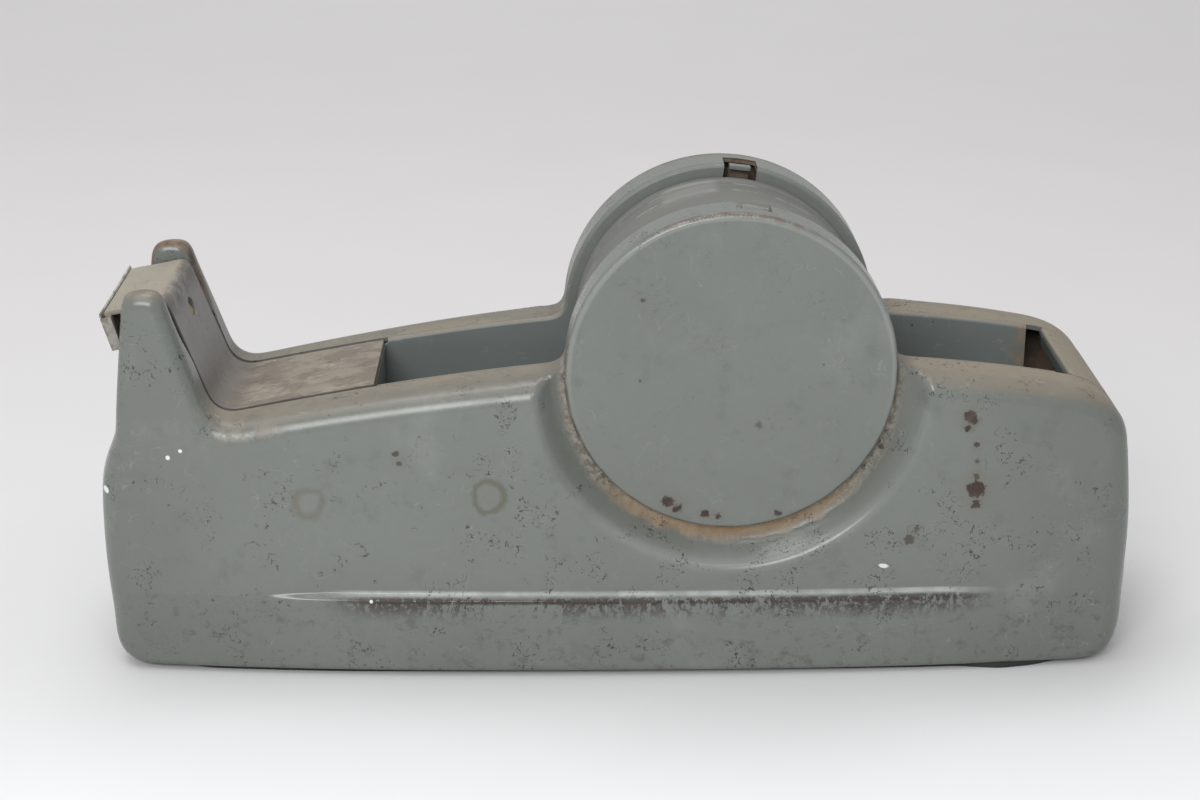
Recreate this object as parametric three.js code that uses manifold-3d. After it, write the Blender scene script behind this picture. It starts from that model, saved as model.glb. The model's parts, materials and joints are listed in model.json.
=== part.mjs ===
// Heavy desk tape dispenser: two pressed side shells round a slotted well frame, a serrated
// cutter on a bent nose plate, and a lift-out drum hub for tape on a wide core.
// Millimetres, +Z up. The cutter is at -X, the axle runs along Y, and the origin lies under the
// middle of the whole body.
import * as THREE from "three";
import { mergeVertices } from "three/addons/utils/BufferGeometryUtils.js";
import Module from "manifold-3d";

const wasm = await Module();
wasm.setup();

// ---- driving dimensions -------------------------------------------------------------------
const FRONT = 159; // axle to the foremost point of the body
const REAR = 103.6; // axle to the rearmost point of the body
const AXLE_Z = 79; // height of the axle
const SHELL_FOOT = 1; // the shells stop this far above the desk
const WALL = 2; // shell wall
const GAP = 0.3; // clearance between pieces that meet face to face

const HUB_R = 38.1; // for a core of 76 mm bore
const WELL_HALF = 17.1; // half of the clear width between the frame walls
const BOSS_R = HUB_R + 2.9; // outside radius of the round boss on each shell
const BOSS_FACE = WELL_HALF + 12.9; // middle plane to the boss's flat face
const VALLEY_DEPTH = 3; // groove round the boss, below its face
const VALLEY_WIDTH = 10; // groove width out to the side face
const LEDGE_Z = 22; // height of the plinth ledge along each side
const LEDGE_DEPTH = 1.8; // how far the plinth stands out at mid length
const SHOULDER_Z = AXLE_Z - 16; // height at which the side face reaches its upper width
const HORN_TOP = 99; // height of the two horns beside the cutter
const HORN_CAP = 14; // each horn's inner side is closed this far down from its top
const HORN_TAPER = 2.2; // each horn is this much thinner at its top

const FRAME_T = 1.2; // frame sheet
const FRAME_REAR = REAR - 20.6; // axle to the frame's rear end

const HUB_HALF = WELL_HALF - 0.9; // half of the hub's width
const HUB_T = 1.5; // hub sheet
const DISC_IN = 3.2; // the hub's discs sit this far inside its ends
const HUB_TUBE_T = 1.2;
const AXLE_R = 2.5;
const BUSH_T = 2; // wall of each bush
const BUSH_LIP = 2; // lip beyond the bush's wall
const BUSH_LIP_T = 1;
const WASHER_T = 0.4;
const LIFT_TILT = (7 * Math.PI) / 180; // the axle slots lean to the rear by this much
const HANGER_T = 1.2;
const HANGER_W = 5.6;
const HANGER_EYE = 1.3; // metal left round the axle hole
const TAB_IN = WELL_HALF + 1.8; // middle plane to the inner edge of a hanger's finger tab
const TAB_BELOW_RIM = 0.6;
const NOTCH_W = 8.8; // notch in the shell's rim for the finger tab
const NOTCH_DEEP = 6; // the notch reaches this far in from the rim
const NOTCH_OUT = WELL_HALF + 7.4; // middle plane to the outer end of the notch
const CLIP_T = 0.7;
const CLIP_W = 1; // clip beyond the axle's radius

const SHEET = 1.5; // nose plate and end strips
const NOSE_END = 90.3; // axle to the rear end of the nose plate, where the well begins
const CUTTER_CORNER = { x: -FRONT + 3.8, z: HORN_TOP - 6.8 }; // measured from the axle and the desk
const PLATFORM_BACK = { x: -FRONT + 19.4, z: HORN_TOP - 3.6 };
const SLOPE_FOOT = { x: -FRONT + 28.2, z: AXLE_Z - 8.4 };
const FLOOR_LOW = { x: -FRONT + 35.4, z: AXLE_Z - 13 };
const LIP = 9; // length of the lip that hangs below the cutter corner
const LIP_BACK = 2.6; // the lip's foot lies this far behind its corner
const BLADE_T = 0.7;
const BLADE_PROUD = 2.4; // the cutter is wider than the nose plate by this much each side
const TOOTH = 1.3; // pitch of the cutter's teeth
const TOOTH_H = 1.1;
const RIVET_R = 2.2; // head of the rivet on the slope behind the cutter
const RIVET_H = 1;
const RIVET_DOWN = 9; // from the slope's top edge
const RIVET_Y = 2;
const RIVET_HOLE_R = 3;
const BRACKET_T = 2;
const STRIP_FRONT_X = REAR - 17.6; // axle to the front edge of the rear strip

const FOOT_END = 7; // base plate and pad stop this far inside the body's ends
const PLATE_Z = 1.8; // underside of the base plate
const PLATE_T = 1.5;
const PAD_T = 1.5;
const BALLAST_FRONT_END = NOSE_END + 1.7; // axle to the rear face of the front ballast
const BALLAST_FRONT_TOP = 56;
const BALLAST_REAR_TOP = 34;
const SCREW_R = 2;
const SCREW_HEAD_R = 3.8;
const SCREW_HEAD_T = 1.3;
const SCREW_LENGTH = 12;
const SCREW_FRONT_X = -FRONT + 25;
const SCREW_REAR_X = REAR - 13.6;
const SCREW_Y = 13; // middle plane to each screw

// ---- colours ------------------------------------------------------------------------------
const PAINT = 0x7d837f;
const WELL_PAINT = 0x55605f;
const WORN = 0x8f867b;
const STEEL = 0x8a8c8a;
const BRASS = 0xa88b4c;
const IRON = 0x4b4b49;
const RUBBER = 0x232a27;

const finish = (color, roughness, metalness) =>
  new THREE.MeshStandardMaterial({ color, roughness, metalness });

// ---- shape helpers ------------------------------------------------------------------------
const P = (x, z) => new THREE.Vector2(x, z);

function solid(geometry) {
  const g = geometry.clone();
  g.deleteAttribute("normal");
  g.deleteAttribute("uv");
  const merged = mergeVertices(g, 1e-4);
  return new wasm.Manifold(
    new wasm.Mesh({
      numProp: 3,
      vertProperties: merged.attributes.position.array,
      triVerts: new Uint32Array(merged.index.array),
    }),
  );
}

function geometryOf(made) {
  const mesh = made.getMesh();
  const g = new THREE.BufferGeometry();
  g.setAttribute("position", new THREE.BufferAttribute(mesh.vertProperties, 3));
  g.setIndex(new THREE.BufferAttribute(mesh.triVerts, 1));
  g.computeVertexNormals();
  return g;
}

// A side-view outline (points in X and Z) as a solid from y0 to y1.
function slabY(points, y0, y1) {
  const g = new THREE.ExtrudeGeometry(new THREE.Shape(points), {
    depth: y1 - y0,
    bevelEnabled: false,
    steps: 1,
  });
  return solid(g.rotateX(Math.PI / 2).translate(0, y1, 0));
}

// A plan outline (points in X and Y) as a solid from z0 to z1.
function slabZ(points, z0, z1) {
  const g = new THREE.ExtrudeGeometry(new THREE.Shape(points), {
    depth: z1 - z0,
    bevelEnabled: false,
    steps: 1,
  });
  return solid(g.translate(0, 0, z0));
}

function box(x0, x1, y0, y1, z0, z1) {
  const g = new THREE.BoxGeometry(x1 - x0, y1 - y0, z1 - z0);
  return solid(g.translate((x0 + x1) / 2, (y0 + y1) / 2, (z0 + z1) / 2));
}

// A cylinder along Y, round the axle line.
function drumY(r, y0, y1, segments = 48) {
  const g = new THREE.CylinderGeometry(r, r, y1 - y0, segments);
  return solid(g.translate(0, (y0 + y1) / 2, AXLE_Z));
}

// A lathe round the axle line; each point is radius and Y.
function latheY(points, segments = 48) {
  return solid(new THREE.LatheGeometry(points, segments).translate(0, 0, AXLE_Z));
}

function pegZ(x, y, r, z0, z1, segments = 20) {
  const g = new THREE.CylinderGeometry(r, r, z1 - z0, segments).rotateX(Math.PI / 2);
  return solid(g.translate(x, y, (z0 + z1) / 2));
}

// The outline moved sideways by d, to the left of its direction of travel.
function offsetLine(points, d) {
  return points.map((p, i) => {
    const a = points[Math.max(i - 1, 0)];
    const b = points[Math.min(i + 1, points.length - 1)];
    const t = b.clone().sub(a).normalize();
    return P(p.x - t.y * d, p.y + t.x * d);
  });
}

// Sheet metal whose outer face follows a line in side view.
const sheetY = (line, thickness, y0, y1) =>
  slabY([...line, ...offsetLine(line, -thickness).reverse()], y0, y1);

const mirrorY = (made) => made.mirror([0, 1, 0]);

// ---- the body's side profile --------------------------------------------------------------
const TOP_FRONT_Z = AXLE_Z - 0.6; // top edge where it meets the front of the boss
const TOP_REAR_Z = AXLE_Z + 0.7;
const FILLET = 3.6; // where the top edge runs up into the boss
const CURVE_STEPS = 5;

function frontLine() {
  const path = new THREE.Path();
  path.moveTo(-FRONT + 11, SHELL_FOOT);
  path.quadraticCurveTo(-FRONT + 2.6, SHELL_FOOT, -FRONT + 1.6, 10);
  path.lineTo(-FRONT + 0.2, 28);
  path.quadraticCurveTo(-FRONT - 0.3, 43, -FRONT + 0.6, 49.5);
  path.quadraticCurveTo(-FRONT + 1.8, 55, -FRONT + 4, 59);
  path.quadraticCurveTo(-FRONT + 5.4, 61.8, -FRONT + 5.6, 66);
  return path.getPoints(CURVE_STEPS);
}

function hornLine() {
  const path = new THREE.Path();
  path.moveTo(-FRONT + 5.6, 66);
  path.lineTo(-FRONT + 8.9, HORN_TOP - 4.5);
  path.quadraticCurveTo(-FRONT + 9.3, HORN_TOP, -FRONT + 13.2, HORN_TOP);
  path.lineTo(-FRONT + 16.6, HORN_TOP);
  path.quadraticCurveTo(-FRONT + 19.6, HORN_TOP, PLATFORM_BACK.x + 1.1, HORN_TOP - 5);
  path.lineTo(SLOPE_FOOT.x, SLOPE_FOOT.z);
  return path.getPoints(CURVE_STEPS);
}

function topFrontLine() {
  const path = new THREE.Path();
  path.moveTo(SLOPE_FOOT.x, SLOPE_FOOT.z);
  path.quadraticCurveTo(SLOPE_FOOT.x + 1.9, FLOOR_LOW.z - 0.6, FLOOR_LOW.x, FLOOR_LOW.z);
  path.quadraticCurveTo(-BOSS_R * 1.95, TOP_FRONT_Z - 3.5, -BOSS_R - FILLET, TOP_FRONT_Z);
  return path.getPoints(CURVE_STEPS);
}

function bossLine() {
  const rise = Math.asin(FILLET / BOSS_R);
  const path = new THREE.Path();
  path.moveTo(-BOSS_R - FILLET, TOP_FRONT_Z);
  path.quadraticCurveTo(
    -BOSS_R, TOP_FRONT_Z + 0.3, -BOSS_R * Math.cos(rise), AXLE_Z + FILLET,
  );
  const before = path.getPoints(3);
  const arc = new THREE.Path();
  arc.absarc(0, AXLE_Z, BOSS_R, Math.PI - rise, rise * 1.2, true);
  const after = new THREE.Path();
  after.moveTo(BOSS_R * Math.cos(rise * 1.2), AXLE_Z + BOSS_R * Math.sin(rise * 1.2));
  after.quadraticCurveTo(BOSS_R, TOP_REAR_Z + 0.2, BOSS_R + FILLET, TOP_REAR_Z);
  return [...before, ...arc.getPoints(22).slice(1), ...after.getPoints(3).slice(1)];
}

function topRearLine() {
  const path = new THREE.Path();
  path.moveTo(BOSS_R + FILLET, TOP_REAR_Z);
  path.quadraticCurveTo(BOSS_R + 27, TOP_REAR_Z - 1.7, STRIP_FRONT_X, TOP_REAR_Z - 4.8);
  return path.getPoints(CURVE_STEPS);
}

function rearLine() {
  const path = new THREE.Path();
  path.moveTo(STRIP_FRONT_X, TOP_REAR_Z - 4.8);
  path.quadraticCurveTo(REAR - 7, TOP_REAR_Z - 7.2, REAR - 3.4, TOP_REAR_Z - 16.5);
  path.quadraticCurveTo(REAR, TOP_REAR_Z - 32, REAR, 32);
  path.lineTo(REAR - 0.2, 14);
  path.quadraticCurveTo(REAR - 1, SHELL_FOOT, REAR - 10, SHELL_FOOT);
  return path.getPoints(CURVE_STEPS);
}

const joinLines = (...lines) => lines.flatMap((line, i) => (i ? line.slice(1) : line));
const PROFILE = joinLines(
  frontLine(), hornLine(), topFrontLine(), bossLine(), topRearLine(), rearLine(),
);

// ---- the body's plan ----------------------------------------------------------------------
// Half width at stations along the body: at the plinth, and at the shoulder under the top edge.
const STATIONS = [
  { x: -FRONT - 1, foot: 16, shoulder: 15 },
  { x: -FRONT + 0.8, foot: 23, shoulder: 21.5 },
  { x: -FRONT + 3, foot: 27.6, shoulder: 24.8 },
  { x: -FRONT + 8, foot: 31, shoulder: 26.4 },
  { x: -FRONT + 16, foot: 32.8, shoulder: 27 },
  { x: -FRONT + 33, foot: 34.2, shoulder: 28.4 },
  { x: -FRONT + 75, foot: 36.4, shoulder: 31.6 },
  { x: -FRONT + 108, foot: 37, shoulder: 33.8 },
  { x: 0, foot: 37, shoulder: 34.8 },
  { x: REAR - 52, foot: 35.6, shoulder: 34.4 },
  { x: REAR - 28, foot: 33.4, shoulder: 33 },
  { x: REAR - 12, foot: 30, shoulder: 29.6 },
  { x: REAR - 4, foot: 25.4, shoulder: 25 },
  { x: REAR - 0.6, foot: 19, shoulder: 18.5 },
  { x: REAR + 1, foot: 12, shoulder: 12 },
];
const LEDGE_FRONT = -FRONT + 41; // the ledge fades out at these two places
const LEDGE_REAR = REAR - 35;

const ledgeAt = (x) => {
  const t = (x - LEDGE_FRONT) / (LEDGE_REAR - LEDGE_FRONT);
  return t <= 0 || t >= 1 ? 0 : LEDGE_DEPTH * Math.min(1, 4 * t, 4 * (1 - t));
};

// One side of the body as a stack of plan outlines, each inset from the outer face.
function sideVolume(inset) {
  const levels = [
    { z: -5, width: (s) => s.foot },
    { z: LEDGE_Z - 0.8, width: (s) => s.foot },
    { z: LEDGE_Z + 0.8, width: (s) => s.foot - ledgeAt(s.x) },
    { z: SHOULDER_Z, width: (s) => s.shoulder },
    { z: AXLE_Z + BOSS_R + 5, width: (s) => s.shoulder - (s.x < -BOSS_R ? HORN_TAPER * 1.6 : 0) },
  ];
  const n = STATIONS.length;
  const position = [];
  for (const level of levels) {
    for (const s of STATIONS) position.push(s.x, level.width(s) - inset, level.z);
    for (const s of STATIONS) position.push(s.x, 0, level.z);
  }
  const index = [];
  const quad = (a, b, c, d) => index.push(a, b, c, a, c, d);
  levels.slice(1).forEach((_, k) => {
    const lo = k * 2 * n;
    const hi = lo + 2 * n;
    for (let i = 0; i < n - 1; i++) {
      quad(lo + i, hi + i, hi + i + 1, lo + i + 1);
      quad(lo + n + i, lo + n + i + 1, hi + n + i + 1, hi + n + i);
    }
    quad(lo, lo + n, hi + n, hi);
    quad(lo + n - 1, hi + n - 1, hi + 2 * n - 1, lo + 2 * n - 1);
  });
  const top = (levels.length - 1) * 2 * n;
  for (let i = 0; i < n - 1; i++) {
    quad(i, i + 1, i + 1 + n, i + n);
    quad(top + i, top + i + n, top + i + 1 + n, top + i + 1);
  }
  const g = new THREE.BufferGeometry();
  g.setAttribute("position", new THREE.BufferAttribute(new Float32Array(position), 3));
  g.setIndex(index);
  return solid(g);
}

// Everything outside the boss's face and the groove round it, grown by d towards the inside.
function outsideBoss(d) {
  const out = 60;
  const groove = BOSS_FACE - VALLEY_DEPTH;
  return latheY([
    P(0, BOSS_FACE - d),
    P(BOSS_R - d, BOSS_FACE - d),
    P(BOSS_R - d, groove + 0.8 - d),
    P(BOSS_R + 1.6, groove - d),
    P(BOSS_R + VALLEY_WIDTH * 0.45, groove + 1 - d),
    P(BOSS_R + VALLEY_WIDTH * 0.8 + d * 0.5, groove + 4.2 - d * 0.5),
    P(BOSS_R + VALLEY_WIDTH + d, groove + 8.5),
    P(BOSS_R + VALLEY_WIDTH + d, out),
    P(0, out),
  ]);
}

// A bar along the lift direction, from the axle up to a radius past it.
function alongLift(half, y0, y1, from, to) {
  const g = new THREE.BoxGeometry(2 * half, y1 - y0, to - from);
  g.translate(0, (y0 + y1) / 2, (from + to) / 2).rotateY(LIFT_TILT);
  return solid(g.translate(0, 0, AXLE_Z));
}

const SHELL_IN = WELL_HALF + FRAME_T + GAP; // middle plane to the shell's inner edge
const STRIP_HALF = SHELL_IN - GAP; // half width of what lies between the shells

// What lies inside the shells up to a height, clear of them by an inset.
function insideShells(inset, top) {
  const side = sideVolume(inset);
  const outline = offsetLine(PROFILE, -inset).filter((p) => p.y < top);
  return slabY(outline, -60, 60).intersect(side.add(mirrorY(side)));
}

// ---- pieces of the base -------------------------------------------------------------------
function sideShell() {
  const open = SHELL_FOOT + 8;
  const line = offsetLine(PROFILE, -WALL).filter((p) => p.y > open);
  const outline = [P(line[0].x, -10), ...line, P(line.at(-1).x, -10)];
  const cap = box(-FRONT, SLOPE_FOOT.x, 0, SHELL_IN + WALL, HORN_TOP - HORN_CAP, HORN_TOP);
  const cavity = slabY(outline, SHELL_IN - 1, 60).intersect(sideVolume(WALL)).subtract(cap);
  const notch = alongLift(NOTCH_W / 2, 0, NOTCH_OUT, BOSS_R - NOTCH_DEEP, BOSS_R + 6);
  return slabY(PROFILE, SHELL_IN, 60)
    .intersect(sideVolume(0))
    .subtract(outsideBoss(0))
    .subtract(cavity.subtract(outsideBoss(WALL)))
    .subtract(notch);
}

const SLOT_HALF = AXLE_R + GAP;

function wellFrame() {
  const body = slabY(PROFILE, -STRIP_HALF, STRIP_HALF);
  const span = box(GAP - NOSE_END, FRAME_REAR, -60, 60, PLATE_Z + PLATE_T + GAP, 200);
  const floor = PLATE_Z + PLATE_T + GAP + FRAME_T;
  const well = box(GAP - NOSE_END + FRAME_T, REAR, -WELL_HALF, WELL_HALF, floor, 200);
  const slots = alongLift(SLOT_HALF, -60, 60, -SLOT_HALF, BOSS_R + 6);
  const mouths = alongLift(NOTCH_W / 2, -60, 60, BOSS_R - NOTCH_DEEP, BOSS_R + 6);
  return body.intersect(span).subtract(well).subtract(slots).subtract(mouths);
}

function noseLine() {
  const path = new THREE.Path();
  path.moveTo(CUTTER_CORNER.x + LIP_BACK, CUTTER_CORNER.z - LIP);
  path.lineTo(CUTTER_CORNER.x, CUTTER_CORNER.z);
  path.lineTo(PLATFORM_BACK.x, PLATFORM_BACK.z);
  path.lineTo(SLOPE_FOOT.x, SLOPE_FOOT.z);
  path.quadraticCurveTo(SLOPE_FOOT.x + 1.9, FLOOR_LOW.z - 0.6, FLOOR_LOW.x, FLOOR_LOW.z);
  path.quadraticCurveTo(-BOSS_R * 1.95, TOP_FRONT_Z - 3.5, -BOSS_R - FILLET, TOP_FRONT_Z);
  return path.getPoints(CURVE_STEPS);
}

// A cylinder square to the slope behind the cutter, from a depth below its face to a height.
function pegOnSlope(r, below, above) {
  const run = SLOPE_FOOT.x - PLATFORM_BACK.x;
  const drop = PLATFORM_BACK.z - SLOPE_FOOT.z;
  const t = RIVET_DOWN / Math.hypot(run, drop);
  const g = new THREE.CylinderGeometry(r, r, above + below, 20);
  g.translate(0, (above - below) / 2, 0).rotateX(Math.PI / 2).rotateY(Math.atan2(drop, run));
  return solid(g.translate(PLATFORM_BACK.x + run * t, RIVET_Y, PLATFORM_BACK.z - drop * t));
}

const nosePlate = () =>
  sheetY(noseLine(), SHEET, -STRIP_HALF, STRIP_HALF)
    .subtract(pegOnSlope(RIVET_HOLE_R, 3 * SHEET, SHEET))
    .subtract(box(-NOSE_END, 0, -60, 60, 0, 200));

// A bent bracket between the horns that carries the nose plate.
function noseBracket() {
  const line = offsetLine(noseLine().slice(1, 4), -SHEET - GAP);
  const kept = box(CUTTER_CORNER.x + 8, SLOPE_FOOT.x - 3, -60, 60, SLOPE_FOOT.z + 4, 200);
  return sheetY(line, BRACKET_T, GAP - STRIP_HALF, STRIP_HALF - GAP).intersect(kept);
}

// The rivet's head sits on the bracket, seen down the hole in the nose plate.
const noseRivet = () => pegOnSlope(RIVET_R, SHEET, RIVET_H - SHEET);

// The cutter: a hardened strip on the face of the lip, its teeth standing past the corner.
function cutterBlade() {
  const half = STRIP_HALF + BLADE_PROUD;
  const teeth = Math.round((2 * half) / TOOTH);
  const pitch = (2 * half) / teeth;
  const foot = [P(half, 0), P(-half, 0)];
  const ridge = Array.from({ length: teeth }, (_, i) => [
    P(-half + i * pitch, LIP),
    P(-half + (i + 0.5) * pitch, LIP + TOOTH_H),
  ]).flat();
  const shape = new THREE.Shape([...foot, ...ridge, P(half, LIP)]);
  const g = new THREE.ExtrudeGeometry(shape, { depth: BLADE_T, bevelEnabled: false, steps: 1 });
  g.rotateX(Math.PI / 2).rotateZ(-Math.PI / 2);
  g.translate(-BLADE_T - GAP, 0, -LIP).rotateY(-Math.atan2(LIP_BACK, LIP));
  return solid(g.translate(CUTTER_CORNER.x, 0, CUTTER_CORNER.z));
}

// The strip that closes the front between the shells, below the nose plate.
function frontStrip() {
  const low = PLATE_Z + PLATE_T + 6;
  const line = frontLine().filter((p) => p.y > low);
  return sheetY(line, SHEET, -STRIP_HALF, STRIP_HALF);
}

function rearStrip() {
  const low = PLATE_Z + PLATE_T + 6;
  const line = rearLine().filter((p) => p.y > low);
  return sheetY(line, SHEET, -STRIP_HALF, STRIP_HALF);
}

// A flat piece that fills the body's plan inside the shells' feet.
function footSlab(inset, z0, z1) {
  const line = STATIONS.map((s) => P(s.x, s.foot - WALL - inset));
  const plan = [...line, ...line.map((p) => P(p.x, -p.y)).reverse()].reverse();
  const kept = box(-FRONT + FOOT_END + inset, REAR - FOOT_END - inset, -60, 60, z0, z1);
  return slabZ(plan, z0, z1).intersect(kept);
}

const SCREWS = [
  [SCREW_FRONT_X, -SCREW_Y],
  [SCREW_FRONT_X, SCREW_Y],
  [SCREW_REAR_X, -SCREW_Y],
  [SCREW_REAR_X, SCREW_Y],
];

const withHoles = (made, r) =>
  SCREWS.reduce((left, [x, y]) => left.subtract(pegZ(x, y, r, -5, SCREW_LENGTH + 3)), made);

const bottomPlate = () =>
  withHoles(footSlab(2 * GAP, PLATE_Z, PLATE_Z + PLATE_T), SCREW_R + GAP);

const basePad = () => withHoles(footSlab(3 * GAP, 0, PAD_T), SCREW_HEAD_R + GAP);

const baseScrew = ([x, y]) =>
  pegZ(x, y, SCREW_HEAD_R, PLATE_Z - GAP - SCREW_HEAD_T, PLATE_Z - GAP).add(
    pegZ(x, y, SCREW_R, PLATE_Z - GAP - 0.1, SCREW_LENGTH),
  );

const ballast = (x0, x1, top) =>
  withHoles(
    insideShells(WALL + 5 * GAP, SHOULDER_Z).intersect(
      box(x0, x1, -60, 60, PLATE_Z + PLATE_T + GAP, top),
    ),
    SCREW_R + GAP,
  );

// ---- the hub and what carries it ----------------------------------------------------------
const RING_STEPS = 40;

// A ring round the axle line, of rectangular section.
const ringY = (r0, r1, y0, y1, segments = RING_STEPS) =>
  latheY([P(r0, y0), P(r1, y0), P(r1, y1), P(r0, y1), P(r0, y0)], segments);

const DISC_OUT = HUB_HALF - DISC_IN; // middle plane to a hub disc's outer face
const BORE = AXLE_R + GAP;
const BUSH_R = BORE + BUSH_T;
const BUSH_FACE = DISC_OUT + GAP + BUSH_LIP_T;
const WASHER_Y = BUSH_FACE + GAP;
const AXLE_END = NOTCH_OUT - 2 * GAP;
const CLIP_Y = AXLE_END - GAP - CLIP_T;
const HANGER_Y = CLIP_Y - GAP - HANGER_T;

const hubSleeve = () => ringY(HUB_R - HUB_T, HUB_R, -HUB_HALF, HUB_HALF, 72);

const hubDisc = () => ringY(BUSH_R + GAP, HUB_R - HUB_T - GAP, DISC_OUT - HUB_T, DISC_OUT);

function hubTube() {
  const end = DISC_OUT - HUB_T - GAP;
  return ringY(BUSH_R + GAP, BUSH_R + GAP + HUB_TUBE_T, -end, end);
}

// A lipped bush pressed into a hub disc from outside.
function bush() {
  const inner = DISC_OUT - HUB_T - 3;
  const lip = BUSH_R + BUSH_LIP;
  const start = P(BORE, inner);
  return latheY([
    start,
    P(BUSH_R, inner),
    P(BUSH_R, DISC_OUT + GAP),
    P(lip, DISC_OUT + GAP),
    P(lip, BUSH_FACE),
    P(BORE, BUSH_FACE),
    start.clone(),
  ], RING_STEPS);
}

const dragWasher = () => ringY(BORE, BUSH_R + BUSH_LIP, WASHER_Y, WASHER_Y + WASHER_T);

const spacer = () => ringY(BORE, BUSH_R, WASHER_Y + WASHER_T + GAP, WELL_HALF - GAP);

const axle = () => drumY(AXLE_R, -AXLE_END, AXLE_END, RING_STEPS);

const clip = () => ringY(AXLE_R + GAP, AXLE_R + GAP + CLIP_W, CLIP_Y, CLIP_Y + CLIP_T);

// A strap that hangs on the axle's end and turns inwards at the rim as a finger tab.
function hanger() {
  const top = BOSS_R - TAB_BELOW_RIM;
  const y1 = HANGER_Y + HANGER_T;
  const strap = alongLift(HANGER_W / 2, HANGER_Y, y1, 0, top);
  const tab = alongLift(HANGER_W / 2, TAB_IN, y1, top - HANGER_T, top);
  return strap
    .add(tab)
    .add(drumY(BORE + HANGER_EYE, HANGER_Y, y1))
    .subtract(drumY(BORE, HANGER_Y - 1, y1 + 1));
}

// ---- assembly -----------------------------------------------------------------------------
const dispenser = new THREE.Group();
dispenser.position.x = (FRONT - REAR) / 2;

function add(name, made, material) {
  const mesh = new THREE.Mesh(geometryOf(made), material);
  mesh.name = name;
  dispenser.add(mesh);
}

// The same piece on both flanks: made for the right (+Y) and mirrored for the left.
function addPair(name, made, material) {
  add(`right_${name}`, made, material);
  add(`left_${name}`, mirrorY(made), material);
}

const paint = finish(PAINT, 0.42, 0.1);
const wellPaint = finish(WELL_PAINT, 0.5, 0.1);
const worn = finish(WORN, 0.6, 0.2);
const steel = finish(STEEL, 0.35, 0.9);
const iron = finish(IRON, 0.8, 0.5);

addPair("side_shell", sideShell(), paint);
add("well_frame", wellFrame(), wellPaint);
add("nose_plate", nosePlate(), worn);
add("nose_bracket", noseBracket(), wellPaint);
add("nose_rivet", noseRivet(), finish(BRASS, 0.4, 0.9));
add("cutter_blade", cutterBlade(), steel);
add("front_strip", frontStrip(), paint);
add("rear_strip", rearStrip(), paint);
add("bottom_plate", bottomPlate(), finish(STEEL, 0.6, 0.7));
add("base_pad", basePad(), finish(RUBBER, 0.9, 0));
add("front_ballast", ballast(-FRONT, -BALLAST_FRONT_END, BALLAST_FRONT_TOP), iron);
add("rear_ballast", ballast(FRAME_REAR + 1, REAR, BALLAST_REAR_TOP), iron);
SCREWS.forEach((place, i) => add(`base_screw_${i + 1}`, baseScrew(place), steel));

add("axle", axle(), steel);
addPair("hanger", hanger(), worn);
addPair("axle_clip", clip(), steel);
addPair("drag_washer", dragWasher(), steel);
addPair("spacer", spacer(), steel);

add("hub_sleeve", hubSleeve(), paint);
add("hub_tube", hubTube(), steel);
addPair("hub_disc", hubDisc(), wellPaint);
addPair("bush", bush(), finish(BRASS, 0.45, 0.9));

export default dispenser;
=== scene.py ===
import json
import math

import bmesh
import bpy
import numpy as np
from bpy.props import FloatProperty, FloatVectorProperty, IntProperty, PointerProperty
from bpy.types import Operator, Panel, PropertyGroup
from mathutils import Euler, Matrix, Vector
from mathutils.geometry import delaunay_2d_cdt


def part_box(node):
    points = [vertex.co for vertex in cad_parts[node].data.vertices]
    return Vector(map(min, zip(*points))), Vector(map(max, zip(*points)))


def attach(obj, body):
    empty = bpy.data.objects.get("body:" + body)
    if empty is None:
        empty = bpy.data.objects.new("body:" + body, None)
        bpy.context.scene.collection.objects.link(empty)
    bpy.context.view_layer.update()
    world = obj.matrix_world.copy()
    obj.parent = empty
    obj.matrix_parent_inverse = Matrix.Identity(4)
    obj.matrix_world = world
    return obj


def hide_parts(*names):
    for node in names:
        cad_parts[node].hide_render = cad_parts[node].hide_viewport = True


bl_info = {
    "name": "Desk tape dispenser",
    "version": (1, 0, 0),
    "blender": (4, 5, 0),
    "location": "View3D > Sidebar > Dispenser",
    "description": "Builds a worn pressed-steel desk tape dispenser round its packed frame",
    "category": "Object",
}

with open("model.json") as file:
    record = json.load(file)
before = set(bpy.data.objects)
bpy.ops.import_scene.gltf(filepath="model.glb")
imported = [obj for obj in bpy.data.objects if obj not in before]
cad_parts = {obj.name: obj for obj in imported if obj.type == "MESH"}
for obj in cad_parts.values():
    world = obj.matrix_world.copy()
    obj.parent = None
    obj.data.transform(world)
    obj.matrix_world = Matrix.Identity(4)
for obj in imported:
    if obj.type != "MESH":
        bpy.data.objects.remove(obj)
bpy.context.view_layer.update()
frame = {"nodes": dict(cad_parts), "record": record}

MM = 0.001

# ---- places taken from the frame, in millimetres --------------------------------------------
# The working frame has its X origin on the axle and its Z origin on the desk.


def box_mm(node):
    low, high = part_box(node)
    return np.array(low) / MM, np.array(high) / MM


SHELL_LOW, SHELL_HIGH = box_mm("right_side_shell")
AXLE_LOW, AXLE_HIGH = box_mm("axle")
SLEEVE_LOW, SLEEVE_HIGH = box_mm("hub_sleeve")
FRAME_LOW, FRAME_HIGH = box_mm("well_frame")
NOSE_LOW, NOSE_HIGH = box_mm("nose_plate")
TAB_LOW, TAB_HIGH = box_mm("right_hanger")
PAD_LOW, PAD_HIGH = box_mm("base_pad")

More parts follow.
